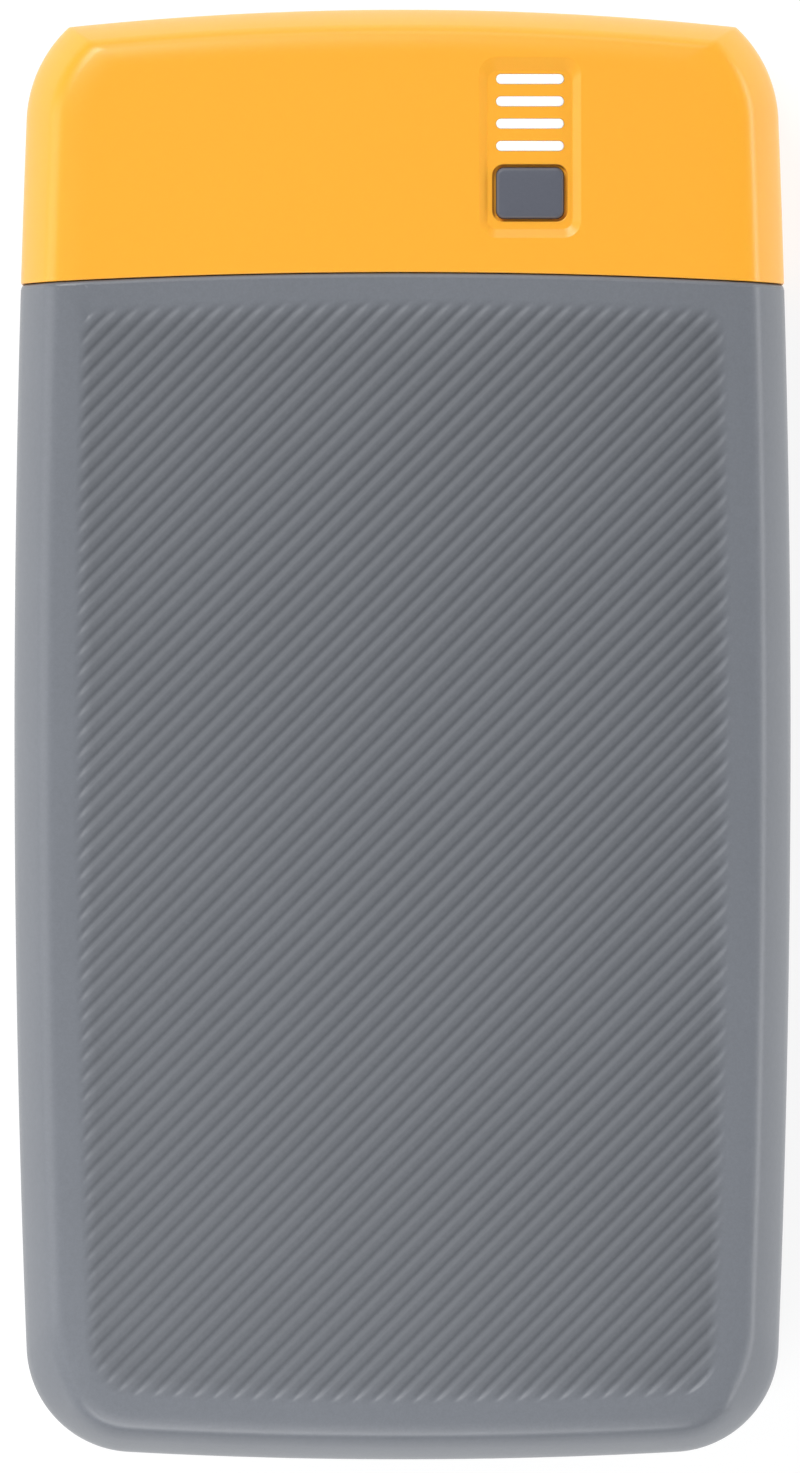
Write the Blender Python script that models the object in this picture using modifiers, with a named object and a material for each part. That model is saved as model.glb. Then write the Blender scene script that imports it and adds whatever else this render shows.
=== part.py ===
"""A pocket power bank: two ribbed grey shells, a yellow socket cap and everything inside them.

It lies on its back. +Z is the front with the button, +Y is the socket end, and the origin is the
middle of the footprint. The numbers are millimetres, and mm() turns them into Blender's metres.
"""

import math

import bmesh
import bpy
from mathutils import Matrix, Vector

# The outside form, seen from the front
LENGTH = 155.0
WIDTH = 83.0
THICKNESS = 28.0
SIDE_RADIUS = 1660.0
BOTTOM_RADIUS = 535.0
BOTTOM_CORNER_RADIUS = 11.5
END_RADIUS = 340.0
END_CORNER_RADIUS = 14.2
END_CORNER_Y = 65.2
# How far each edge rolls inwards between mid thickness and the flat front or back
SIDE_ROLL = 7.2
END_ROLL = 5.0
# The rolled edge is four arcs: how far each end of an arc has turned from the flat, in degrees,
# and its inset. A gentle dome leads to a tighter edge, and that through a wide slope to the
# straight band round the middle of the side.
ROLL_TURNS = ((0.0, SIDE_ROLL), (12.0, 4.3), (57.0, 2.4), (70.0, 0.5), (90.0, 0.0))
CREASE_RADIUS = 0.6
CREASE_RADIUS_AT_FACE = 3.0

WALL = 2.0
GAP = 0.3
SOLDER_GAP = 0.1
MID_Z = THICKNESS / 2

# The joint between the cap and the two shells, and the spigot that the cap slides over
SEAM_Y = 49.3
SEAM_RADIUS = 700.0
SPIGOT_OVERLAP = 3.0
SPIGOT_INSETS = (WALL + GAP, WALL + GAP + 0.9)
# The joint between the two shells: a tongue on the front one in a groove in the rear one
TONGUE_INSET = 1.1
TONGUE_HEIGHT = 0.8
GROOVE_INSET = TONGUE_INSET - GAP

# The recess on the cap with the charge lights and the button
PANEL_X = 13.6
PANEL_Y = 62.65
PANEL_SIZE = (10.5, 18.8)
PANEL_DEPTH = 0.35
LIGHT_Y = [62.8 + 2.38 * i for i in range(4)]
LIGHT_SLOT = (7.4, 1.15)
LIGHT_BAR = (7.1, 0.9)
BUTTON_Y = 57.77
BUTTON_HOLE = (8.0, 6.1)
BUTTON_SIZE = (7.3, 5.4)
BUTTON_TOP = THICKNESS - 0.05

# Sockets in the end face
SOCKET_Z = 14.05
USB_A_X = 19.0
USB_A_SHELL = (13.1, 5.7)
USB_A_INSIDE = (12.5, 5.12)
USB_A_DEPTH = 14.0
USB_C_SHELL = (8.94, 3.16)
USB_C_INSIDE = (8.34, 2.56)
USB_C_DEPTH = 7.4
SOCKET_RECESS = 0.4

# Circuit board
BOARD_BOTTOM = 17.2
BOARD_TOP = 18.8
BOARD_HALF_WIDTH = 30.5
BOARD_Y = (50.5, 73.0)
BOARD_SCREWS = [(side * 28.2, y) for side in (-1, 1) for y in (54.0, 70.0)]

# Cells
CELL_SIZE = (65.0, 105.5, 10.0)
CELL_Y = (-66.5, 39.0)
CELL_BOTTOMS = {"rear": 3.2, "front": 14.8}
TERRACE_END = 43.0
TAB_X = {"positive": -14.0, "negative": 14.0}

# Ears that join the two shells under the cap, their feet on the walls, and their hooks
EAR_X = (32.2, 37.0)
EAR_Y = (43.0, 56.5)
EAR_Z = {"front": (MID_Z + 0.4, 19.5), "rear": (8.5, MID_Z - 0.4)}
FOOT_Z = {"front": (MID_Z + 1.6, 19.5), "rear": (8.5, MID_Z - 1.4)}
FOOT_END = (39.4, 46.0)
HOOK_X = (36.5, 39.2)
HOOK_Y = (53.0, 55.0)
EAR_SCREW = (34.6, 51.0)


def mm(*values):
    """Millimetres to metres, as a Vector."""
    return Vector(values) / 1000


# ---------------------------------------------------------------- scene and materials


def clear_scene():
    for obj in list(bpy.data.objects):
        bpy.data.objects.remove(obj)


def new_collection(name):
    collection = bpy.data.collections.new(name)
    bpy.context.scene.collection.children.link(collection)
    return collection


clear_scene()
PARTS = new_collection("power_bank")
CUTTERS = new_collection("cutters")
CUTTERS.hide_render = True


def material(name, colour, roughness, metallic=0.0):
    made = bpy.data.materials.new(name)
    made.use_nodes = True
    shader = made.node_tree.nodes["Principled BSDF"]
    shader.inputs["Base Color"].default_value = (*colour, 1)
    shader.inputs["Roughness"].default_value = roughness
    shader.inputs["Metallic"].default_value = metallic
    return made


GREY = material("shell_grey", (0.165, 0.178, 0.20), 0.55)
YELLOW = material("cap_yellow", (0.98, 0.46, 0.05), 0.42)
KEY_GREY = material("key_grey", (0.12, 0.128, 0.155), 0.5)
LIGHT = material("light_guide", (0.95, 0.95, 0.92), 0.3)
BLACK = material("black_plastic", (0.02, 0.02, 0.022), 0.5)
FOAM = material("foam", (0.05, 0.05, 0.055), 0.95)
STEEL = material("steel", (0.6, 0.61, 0.62), 0.3, 1.0)
NICKEL = material("nickel", (0.66, 0.63, 0.56), 0.35, 1.0)
BOARD = material("circuit_board", (0.02, 0.12, 0.05), 0.4)
POUCH = material("cell_pouch", (0.55, 0.57, 0.6), 0.35, 0.8)
FERRITE = material("ferrite", (0.06, 0.06, 0.065), 0.7)
CHIP = material("chip_epoxy", (0.025, 0.025, 0.027), 0.45)
CAN = material("capacitor_can", (0.7, 0.71, 0.73), 0.25, 1.0)
FRAME = material("frame_plastic", (0.08, 0.085, 0.09), 0.6)
RED = material("wire_red", (0.5, 0.02, 0.015), 0.5)
WIRE_BLACK = material("wire_black", (0.015, 0.015, 0.015), 0.5)
LED_WHITE = material("led_lens", (0.9, 0.85, 0.55), 0.3)


# ---------------------------------------------------------------- making objects


def as_part(obj, name, finish, smooth_angle=30):
    """Names the object, moves it to the parts collection and gives it its material."""
    obj.name = name
    obj.data.name = name
    for owner in list(obj.users_collection):
        owner.objects.unlink(obj)
    PARTS.objects.link(obj)
    obj.data.materials.clear()
    obj.data.materials.append(finish)
    if obj.type == "MESH" and smooth_angle:
        obj.data.shade_smooth()
        obj.data.set_sharp_from_angle(angle=math.radians(smooth_angle))
    return obj


def as_cutter(obj, name):
    """A helper that Booleans read. It is never rendered."""
    obj.name = name
    for owner in list(obj.users_collection):
        owner.objects.unlink(obj)
    CUTTERS.objects.link(obj)
    obj.hide_render = True
    obj.display_type = "WIRE"
    return obj


def block(centre, size):
    """A box from the cube primitive."""
    bpy.ops.mesh.primitive_cube_add(size=1, location=mm(*centre))
    obj = bpy.context.object
    obj.scale = mm(*size)
    bpy.ops.object.transform_apply(location=False, rotation=False, scale=True)
    return obj


def span(x, y, z):
    """A box from its low and high values along each axis."""
    centre = [(low + high) / 2 for low, high in (x, y, z)]
    size = [high - low for low, high in (x, y, z)]
    return block(centre, size)


def cylinder(centre, radius, z, sides=20):
    """An upright cylinder between two heights."""
    bpy.ops.mesh.primitive_cylinder_add(
        vertices=sides,
        radius=radius / 1000,
        depth=(z[1] - z[0]) / 1000,
        location=mm(centre[0], centre[1], (z[0] + z[1]) / 2),
    )
    return bpy.context.object


def rounded_edges(obj, width, segments=2):
    bevel = obj.modifiers.new("rounded_edges", "BEVEL")
    bevel.width = width / 1000
    bevel.segments = segments
    bevel.limit_method = "ANGLE"
    bevel.angle_limit = math.radians(40)
    return obj


def combine(obj, other, operation):
    modifier = obj.modifiers.new(operation.lower() + "_" + other.name, "BOOLEAN")
    modifier.operation = operation
    modifier.object = other
    return obj


def cut(obj, *others):
    for other in others:
        combine(obj, other, "DIFFERENCE")
    return obj


def join(obj, *others):
    for other in others:
        combine(obj, other, "UNION")
    return obj


def keep(obj, other):
    return combine(obj, other, "INTERSECT")


def baked(obj):
    """The same object with its modifiers applied, or a curve made into a mesh with its caps welded."""
    graph = bpy.context.evaluated_depsgraph_get()
    mesh = bpy.data.meshes.new_from_object(obj.evaluated_get(graph))
    bm = bmesh.new()
    bm.from_mesh(mesh)
    bmesh.ops.remove_doubles(bm, verts=bm.verts, dist=1e-6)
    bm.to_mesh(mesh)
    bm.free()
    made = bpy.data.objects.new(obj.name, mesh)
    made.matrix_world = obj.matrix_world
    bpy.context.scene.collection.objects.link(made)
    bpy.data.objects.remove(obj)
    return made


def plate(outlines, z):
    """Flat outlines, the second and later ones holes in the first, made solid between two heights."""
    curve = bpy.data.curves.new("plate", "CURVE")
    curve.dimensions = "2D"
    curve.fill_mode = "BOTH"
    curve.extrude = (z[1] - z[0]) / 2000
    for points in outlines:
        spline = curve.splines.new("POLY")
        spline.points.add(len(points) - 1)
        for point, (x, y) in zip(spline.points, points):
            point.co = (x / 1000, y / 1000, 0, 1)
        spline.use_cyclic_u = True
    obj = bpy.data.objects.new("plate", curve)
    obj.location = mm(0, 0, (z[0] + z[1]) / 2)
    bpy.context.scene.collection.objects.link(obj)
    bpy.context.view_layer.update()
    return baked(obj)


def turned(profile, sides=20):
    """A profile of (radius, height) points, from top to bottom, turned about Z."""
    mesh = bpy.data.meshes.new("profile")
    points = [mm(radius, 0, height) for radius, height in profile]
    mesh.from_pydata(points, [(i, i + 1) for i in range(len(points) - 1)], [])
    obj = bpy.data.objects.new("turned", mesh)
    bpy.context.scene.collection.objects.link(obj)
    screw = obj.modifiers.new("turn", "SCREW")
    screw.steps = sides
    screw.render_steps = sides
    screw.use_merge_vertices = True
    screw.merge_threshold = 1e-6
    bpy.context.view_layer.update()
    return baked(obj)


def tube(points, radius):
    """A wire through these points, smoothed by a Catmull-Rom curve."""
    ends = [points[0], *points, points[-1]]
    smooth = []
    steps = 5
    for i in range(1, len(ends) - 2):
        p0, p1, p2, p3 = (Vector(p) for p in ends[i - 1 : i + 3])
        for k in range(steps):
            t = k / steps
            smooth.append(
                0.5
                * (
                    2 * p1
                    + (p2 - p0) * t
                    + (2 * p0 - 5 * p1 + 4 * p2 - p3) * t**2
                    + (3 * p1 - p0 - 3 * p2 + p3) * t**3
                )
            )
    smooth.append(Vector(points[-1]))
    curve = bpy.data.curves.new("wire", "CURVE")
    curve.dimensions = "3D"
    curve.bevel_depth = radius / 1000
    curve.bevel_resolution = 2
    curve.use_fill_caps = True
    spline = curve.splines.new("POLY")
    spline.points.add(len(smooth) - 1)
    for point, place in zip(spline.points, smooth):
        point.co = (*mm(*place), 1)
    obj = bpy.data.objects.new("wire", curve)
    bpy.context.scene.collection.objects.link(obj)
    return obj


# ---------------------------------------------------------------- outlines


def arc(centre, radius, start, end, steps):
    """Points on an arc, with its start and without its end."""
    angles = [start + (end - start) * i / steps for i in range(steps)]
    return [(centre.x + radius * math.cos(a), centre.y + radius * math.sin(a)) for a in angles]


def circles_meet(a, radius_a, b, radius_b):
    """The point with the larger x where two circles cross."""
    apart = (b - a).length
    along = (apart**2 + radius_a**2 - radius_b**2) / (2 * apart)
    across = math.sqrt(radius_a**2 - along**2)
    direction = (b - a) / apart
    normal = Vector((-direction.y, direction.x))
    points = [a + direction * along + normal * across * sign for sign in (1, -1)]
    return max(points, key=lambda p: p.x)


def heading(start, end):
    return math.atan2(end.y - start.y, end.x - start.x)


def rounded_rectangle(centre, size, radius, steps=3):
    """A rectangle with round corners, anticlockwise."""
    half_x, half_y = size[0] / 2 - radius, size[1] / 2 - radius
    points = []
    for quarter, (sx, sy) in enumerate([(1, 1), (-1, 1), (-1, -1), (1, -1)]):
        corner = Vector((centre[0] + sx * half_x, centre[1] + sy * half_y))
        for i in range(steps + 1):
            angle = (quarter + i / steps) * math.pi / 2
            points.append(
                (corner.x + radius * math.cos(angle), corner.y + radius * math.sin(angle))
            )
    return points


SIDE_CENTRE = Vector((WIDTH / 2 - SIDE_RADIUS, 0))
BOTTOM_CENTRE = Vector((0, BOTTOM_RADIUS - LENGTH / 2))
END_CENTRE = Vector((0, LENGTH / 2 - END_RADIUS))
END_CORNER_REACH = math.sqrt((SIDE_RADIUS - END_CORNER_RADIUS) ** 2 - END_CORNER_Y**2)
END_CORNER = Vector((SIDE_CENTRE.x + END_CORNER_REACH, END_CORNER_Y))


def outline(inset, end_inset, crease):
    """The front view's outline moved inwards, by inset at the sides and end_inset at both ends.

    Its arcs meet at tangents. crease rounds the edge where the end face cuts the end corners.
    """
    side_radius = SIDE_RADIUS - inset
    end_radius = END_RADIUS - end_inset
    end_corner_radius = END_CORNER_RADIUS - inset
    bottom_radius = BOTTOM_RADIUS - end_inset
    bottom_corner_radius = BOTTOM_CORNER_RADIUS - inset
    crease_centre = circles_meet(
        END_CENTRE, end_radius - crease, END_CORNER, end_corner_radius - crease
    )
    bottom_corner = circles_meet(
        SIDE_CENTRE,
        side_radius - bottom_corner_radius,
        BOTTOM_CENTRE,
        bottom_radius - bottom_corner_radius,
    )
    end_angle = heading(END_CENTRE, crease_centre)
    corner_angle = heading(END_CORNER, crease_centre)
    side_top = heading(SIDE_CENTRE, END_CORNER)
    side_bottom = heading(SIDE_CENTRE, bottom_corner)
    bottom_angle = heading(BOTTOM_CENTRE, bottom_corner)
    right = [
        *arc(END_CENTRE, end_radius, math.pi / 2, end_angle, 4),
        *arc(crease_centre, crease, end_angle, corner_angle, 2),
        *arc(END_CORNER, end_corner_radius, corner_angle, side_top, 3),
        *arc(SIDE_CENTRE, side_radius, side_top, side_bottom, 6),
        *arc(bottom_corner, bottom_corner_radius, side_bottom, bottom_angle, 6),
        *arc(BOTTOM_CENTRE, bottom_radius, bottom_angle, -math.pi / 2, 3),
        (0, BOTTOM_CENTRE.y - bottom_radius),
    ]
    left = [(-x, y) for x, y in reversed(right[1:-1])]
    return right + left


def edge_point(turned):
    """(inset, drop below the flat) where the rolled edge has turned this far, in degrees."""
    inset, drop = SIDE_ROLL, 0.0
    for (start, outer), (end, inner) in zip(ROLL_TURNS, ROLL_TURNS[1:]):
        first, last = math.radians(start), math.radians(end)
        here = min(max(math.radians(turned), first), last)
        radius = (outer - inner) / (math.sin(last) - math.sin(first))
        inset -= radius * (math.sin(here) - math.sin(first))
        drop += radius * (math.cos(first) - math.cos(here))
    return inset, drop


# Where the rings of the form are, from the straight band to the flat
RING_TURNS = (90.0, 70.0, 57.0, 34.0, 12.0, 0.0)


def level(turned, inset):
    """(height above mid thickness, outline) where the rolled edge has turned this far."""
    edge_inset, drop = edge_point(turned)
    rise = 1 - drop / MID_Z
    roll = edge_inset / SIDE_ROLL
    crease = CREASE_RADIUS + (CREASE_RADIUS_AT_FACE - CREASE_RADIUS) * roll
    side = inset + (SIDE_ROLL - inset) * roll
    end = inset + (END_ROLL - inset) * roll
    return rise * (MID_Z - inset), outline(side, end, crease)


def lofted(rings):
    """A closed solid through rings of equally many points, from the lowest to the highest."""
    bm = bmesh.new()
    loops = [[bm.verts.new(mm(x, y, z)) for x, y in points] for z, points in rings]
    for lower, upper in zip(loops, loops[1:]):
        for i in range(len(lower)):
            bm.faces.new((lower[i - 1], lower[i], upper[i], upper[i - 1]))
    bm.faces.new(loops[0])
    bm.faces.new(loops[-1])
    bmesh.ops.recalc_face_normals(bm, faces=bm.faces)
    mesh = bpy.data.meshes.new("lofted")
    bm.to_mesh(mesh)
    bm.free()
    obj = bpy.data.objects.new("lofted", mesh)
    bpy.context.scene.collection.objects.link(obj)
    return obj


def whole_form(inset):
    """The outside form, or that form with its skin moved inwards."""
    rings = [level(turned, inset) for turned in RING_TURNS]
    lower = [(MID_Z - rise, points) for rise, points in reversed(rings)]
    upper = [(MID_Z + rise, points) for rise, points in rings]
    return lofted(lower + upper)


def half_form(side):
    """The front (side 1) or back (side -1) half of the outside form, clear of mid thickness."""
    rings = [level(turned, 0) for turned in RING_TURNS]
    rings.insert(0, (GAP / 2, rings[0][1]))
    made = [(MID_Z + side * rise, points) for rise, points in rings]
    return lofted(made if side > 0 else made[::-1])


def seam_band(low, high):
    """All that lies between two lines parallel to the seam."""
    half = 60.0
    steps = 10
    spread = [half * (2 * i / steps - 1) for i in range(steps + 1)]

    def line(shift):
        centre_y = SEAM_Y + shift - SEAM_RADIUS
        return [(x, centre_y + math.sqrt(SEAM_RADIUS**2 - x**2)) for x in spread]

    return plate([line(low) + line(high)[::-1]], (-10, THICKNESS + 10))


# ---------------------------------------------------------------- shells and cap

BEYOND = 60.0
VOID = as_cutter(whole_form(WALL), "void")
CAP_SIDE = as_cutter(seam_band(-GAP / 2, BEYOND), "cap_side_of_seam")


def skin(name, insets, *bounds):
    """The skin between two insets of the outside form, kept inside each of the bounds."""
    outer = as_cutter(whole_form(insets[0]), name)
    cut(outer, as_cutter(whole_form(insets[1]), name + "_core"))
    for bound in bounds:
        keep(outer, bound)
    return outer


def slab(name, low, high):
    """Everything between two heights."""
    return as_cutter(span((-BEYOND, BEYOND), (-100, 100), (low, high)), name)


def spigot(name, z):
    """The half collar inside the seam, and the step that carries it."""
    half = slab(name + "_half", *z)
    tip_band = as_cutter(seam_band(-1.2, SPIGOT_OVERLAP), name + "_tip_band")
    root_band = as_cutter(seam_band(-3.0, -0.6), name + "_root_band")
    tip = skin(name + "_tip", SPIGOT_INSETS, half, tip_band)
    root = skin(name + "_root", (WALL - 0.8, SPIGOT_INSETS[1]), half, root_band)
    return tip, root


def ears(shell, name, which):
    """Two ears with hooks for the cap, each drilled for the screw that joins the shells."""
    low, high = EAR_Z[which]
    hook_z = (low + 1.2, high - 1.2)
    hole_z = (MID_Z, 19.0) if which == "front" else (0, MID_Z)
    for hand in (-1, 1):
        blocks = {
            "ear": (EAR_X, EAR_Y, (low, high)),
            "foot": ((EAR_X[0], FOOT_END[0]), (EAR_Y[0], FOOT_END[1]), FOOT_Z[which]),
            "hook": (HOOK_X, HOOK_Y, hook_z),
        }
        for word, (x, y, z) in blocks.items():
            made = span(sorted(hand * value for value in x), y, z)
            join(shell, as_cutter(made, f"{name}_{word}_{hand}"))
        hole = cylinder((hand * EAR_SCREW[0], EAR_SCREW[1]), 1.2, hole_z, 12)
        cut(shell, as_cutter(hole, f"{name}_screw_hole_{hand}"))


def front_shell():
    shell = as_part(half_form(1), "front_shell", GREY)
    lip_slab = slab("tongue_slab", MID_Z - TONGUE_HEIGHT, MID_Z + 1.5)
    join(shell, skin("tongue", (TONGUE_INSET, WALL), lip_slab))
    cut(shell, VOID, CAP_SIDE)
    join(shell, *spigot("front_spigot", (MID_Z + GAP / 2, THICKNESS)))
    ears(shell, "front_shell", "front")
    return shell


def rear_shell():
    shell = as_part(half_form(-1), "rear_shell", GREY)
    groove_slab = slab("groove_slab", MID_Z - TONGUE_HEIGHT - GAP, MID_Z + 5)
    cut(shell, VOID, CAP_SIDE, skin("groove", (GROOVE_INSET, WALL + 0.2), groove_slab))
    join(shell, *spigot("rear_spigot", (0, MID_Z - TONGUE_HEIGHT - GAP)))
    ears(shell, "rear_shell", "rear")
    return shell


def end_cap():
    cap = as_part(whole_form(0), "end_cap", YELLOW)
    cut(cap, VOID)
    keep(cap, as_cutter(seam_band(GAP / 2, BEYOND), "above_seam"))
    top = (THICKNESS - WALL - 1, THICKNESS + 1)
    panel = rounded_rectangle((PANEL_X, PANEL_Y), PANEL_SIZE, 1.3)
    panel_cut = plate([panel], (THICKNESS - PANEL_DEPTH, THICKNESS + 1))
    cut(cap, as_cutter(panel_cut, "panel_recess"))
    button = rounded_rectangle((PANEL_X, BUTTON_Y), BUTTON_HOLE, 1.0)
    cut(cap, as_cutter(plate([button], top), "button_hole"))
    for i, y in enumerate(LIGHT_Y):
        slot = rounded_rectangle((PANEL_X, y), LIGHT_SLOT, LIGHT_SLOT[1] / 2 - 0.01)
        cut(cap, as_cutter(plate([slot], top), f"light_slot_{i}"))
    for word, x, shell in (
        ("left", -USB_A_X, USB_A_SHELL),
        ("middle", 0, USB_C_SHELL),
        ("right", USB_A_X, USB_A_SHELL),
    ):
        size = [side + 2 * GAP for side in shell]
        radius = 0.8 if shell is USB_A_SHELL else size[1] / 2 - 0.01
        hole = plate([rounded_rectangle((x, -SOCKET_Z), size, radius)], (70, 80))
        hole.matrix_world = Matrix.Rotation(math.radians(-90), 4, "X") @ hole.matrix_world
        cut(cap, as_cutter(hole, f"socket_hole_{word}"))
    for which, (low, high) in EAR_Z.items():
        for hand in (-1, 1):
            x = sorted((hand * EAR_X[1], hand * (HOOK_X[1] + GAP)))
            y = (HOOK_Y[0] - GAP, HOOK_Y[1] + GAP)
            pocket = span(x, y, (low + 1.2 - GAP, high - 1.2 + GAP))
            cut(cap, as_cutter(pocket, f"hook_pocket_{which}_{hand}"))
    return cap


front_shell()
rear_shell()
end_cap()


# ---------------------------------------------------------------- button, lights and switch


def button_key():
    """A pillowed key with a flange that the cap's wall holds in, and a post that meets the switch."""
    flange_top = THICKNESS - WALL - SOLDER_GAP
    middle = flange_top
    outline_at = rounded_rectangle((0, 0), BUTTON_SIZE, 0.85)
    key = plate([outline_at], (0.1 - 0.5, BUTTON_TOP - middle))
    rounded_edges(key, 0.3, 2)
    flange_size = [side + 1.5 for side in BUTTON_SIZE]
    flange = plate([rounded_rectangle((0, 0), flange_size, 0.9)], (-0.7, 0))
    post = cylinder((0, 0), 1.5, (-1.2, -0.5), 16)
    for obj in (key, flange, post):
        obj.location += mm(PANEL_X, BUTTON_Y, middle)
    join(key, as_cutter(flange, "key_flange"), as_cutter(post, "key_post"))
    return as_part(key, "button_key", KEY_GREY)


def light_guide():
    y = (LIGHT_Y[0] - 1.1, LIGHT_Y[-1] + 1.1)
    guide = as_part(span((PANEL_X - 4.5, PANEL_X + 4.5), y, (24.9, 25.8)), "light_guide", LIGHT)
    for i, bar_y in enumerate(LIGHT_Y):
        bar = rounded_rectangle((PANEL_X, bar_y), LIGHT_BAR, LIGHT_BAR[1] / 2 - 0.01)
        join(guide, as_cutter(plate([bar], (25.4, THICKNESS - PANEL_DEPTH - 0.05)), f"bar_{i}"))
    return guide


def light_mask():
    y = (LIGHT_Y[0] - 1.1, LIGHT_Y[-1] + 1.1)
    mask = as_part(span((PANEL_X - 4.4, PANEL_X + 4.4), y, (19.0, 24.7)), "light_mask", FOAM)
    for i, well_y in enumerate(LIGHT_Y):
        well = block((PANEL_X, well_y, 22), (6.4, 1.5, 10))
        cut(mask, as_cutter(well, f"light_well_{i}"))
    return mask


def tact_switch():
    """Base, snap dome, plunger and cover, stacked on the board under the key."""
    floor = BOARD_TOP + SOLDER_GAP
    base = as_part(
        block((PANEL_X, BUTTON_Y, floor + 1.5), (6, 6, 3)), "switch_base", BLACK, None
    )
    well = cylinder((PANEL_X, BUTTON_Y), 2.3, (floor + 0.8, floor + 4), 20)
    cut(base, as_cutter(well, "switch_well"))
    dome_top = [(0, 0.75), (0.9, 0.65), (1.6, 0.4), (2.1, 0.15)]
    dome_underside = [(2.1, 0), (1.5, 0.2), (0.9, 0.45), (0, 0.55)]
    dome = turned(dome_top + dome_underside, 16)
    dome.location = mm(PANEL_X, BUTTON_Y, floor + 0.9)
    as_part(dome, "switch_dome", STEEL)
    stem = [(0, 5.7), (1.6, 5.7), (1.7, 5.6), (1.7, 3.0)]
    collar = [(2.05, 3.0), (2.05, 1.8), (0, 1.8)]
    plunger = turned(stem + collar)
    plunger.location = mm(PANEL_X, BUTTON_Y, floor)
    as_part(plunger, "switch_plunger", BLACK)
    cover = as_part(
        block((PANEL_X, BUTTON_Y, floor + 3.2), (6, 6, 0.2)), "switch_cover", STEEL, None
    )
    hole = cylinder((PANEL_X, BUTTON_Y), 1.9, (floor + 2, floor + 5), 20)
    cut(cover, as_cutter(hole, "cover_hole"))


button_key()
light_guide()
light_mask()
tact_switch()
for number, led_y in enumerate(LIGHT_Y, 1):
    led = block((PANEL_X, led_y, BOARD_TOP + SOLDER_GAP + 0.35), (1.6, 0.8, 0.7))
    as_part(led, f"charge_led_{number}", LED_WHITE, None)


# ---------------------------------------------------------------- sockets


def end_face_y(x):
    """Where the outside of the end face is, at mid thickness."""
    return END_CENTRE.y + math.sqrt(END_RADIUS**2 - x**2)


def socket_tube(name, x, outside, inside, radii, mouth, depth):
    """A drawn steel socket shell, open at both ends."""
    outlines = [
        rounded_rectangle((x, -SOCKET_Z), outside, radii[0]),
        rounded_rectangle((x, -SOCKET_Z), inside, radii[1]),
    ]
    shell = plate(outlines, (mouth - depth, mouth))
    shell.matrix_world = Matrix.Rotation(math.radians(-90), 4, "X") @ shell.matrix_world
    return as_part(shell, name, STEEL)


def usb_a(name, x):
    mouth = end_face_y(x) - SOCKET_RECESS
    socket_tube(f"{name}_shell", x, USB_A_SHELL, USB_A_INSIDE, (0.6, 0.3), mouth, USB_A_DEPTH)
    back = mouth - USB_A_DEPTH
    tongue_tip = mouth - 3.0
    tongue = span(
        (x - 5.55, x + 5.55), (back + 1, tongue_tip), (SOCKET_Z + 0.05, SOCKET_Z + 1.89)
    )
    plug = span((x - 6.0, x + 6.0), (back + 0.3, back + 2.1), (SOCKET_Z - 2.3, SOCKET_Z + 2.3))
    join(tongue, as_cutter(plug, f"{name}_back"))
    return as_part(tongue, f"{name}_tongue", BLACK, None)


def usb_c():
    mouth = end_face_y(0) - SOCKET_RECESS
    radii = (USB_C_SHELL[1] / 2 - 0.01, USB_C_INSIDE[1] / 2 - 0.01)
    socket_tube("usb_c_shell", 0, USB_C_SHELL, USB_C_INSIDE, radii, mouth, USB_C_DEPTH)
    back = mouth - USB_C_DEPTH
    tongue = span((-3.34, 3.34), (back - 0.5, mouth - 0.9), (SOCKET_Z - 0.35, SOCKET_Z + 0.35))
    plug = span((-3.4, 3.4), (back - 0.5, back + 1.2), (SOCKET_Z - 1.1, SOCKET_Z + 1.1))
    riser = span((-4.4, 4.4), (back - 2.6, back - 0.3), (SOCKET_Z - 1.5, BOARD_BOTTOM - GAP))
    join(tongue, as_cutter(plug, "usb_c_back"), as_cutter(riser, "usb_c_riser"))
    return as_part(tongue, "usb_c_tongue", BLACK, None)


usb_a("usb_a_left", -USB_A_X)
usb_a("usb_a_right", USB_A_X)
usb_c()


# ---------------------------------------------------------------- main board and what is soldered to it


def screw(name, place, head_radius, head_height, shank_radius, shank_length, up):
    """A cross-head screw with its head's underside at place. up is 1 where the head is uppermost."""
    made = turned(
        [
            (0, head_height),
            (head_radius - 0.3, head_height),
            (head_radius, head_height - 0.3),
            (head_radius, 0),
            (shank_radius, 0),
            (shank_radius, 0.4 - shank_length),
            (shank_radius - 0.3, -shank_length),
            (0, -shank_length),
        ],
        16,
    )
    arms = ((head_radius * 1.1, 0.35), (0.35, head_radius * 1.1))
    for i, (long_side, short_side) in enumerate(arms):
        slot = block((0, 0, head_height), (long_side, short_side, head_height))
        cut(made, as_cutter(slot, f"{name}_slot_{i}"))
    bpy.context.view_layer.update()
    made = baked(made)
    if up < 0:
        made.rotation_euler.x = math.pi
    made.location = mm(*place)
    return as_part(made, name, STEEL)


def main_board():
    half = BOARD_HALF_WIDTH
    size = (2 * half, BOARD_Y[1] - BOARD_Y[0])
    centre = (0, sum(BOARD_Y) / 2)
    holes = [rounded_rectangle(place, (1.8, 1.8), 0.89) for place in BOARD_SCREWS]
    board = plate([rounded_rectangle(centre, size, 2.0), *holes], (BOARD_BOTTOM, BOARD_TOP))
    return as_part(board, "main_board", BOARD, None)


def on_board(name, x, y, size, finish, bevel=0.0, below=False):
    """A component that stands on the board's top, or hangs under it."""
    lift = SOLDER_GAP + size[2] / 2
    z = BOARD_BOTTOM - lift if below else BOARD_TOP + lift
    made = as_part(block((x, y, z), size), name, finish, None)
    if bevel:
        rounded_edges(made, bevel, 1)
    return made


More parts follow.
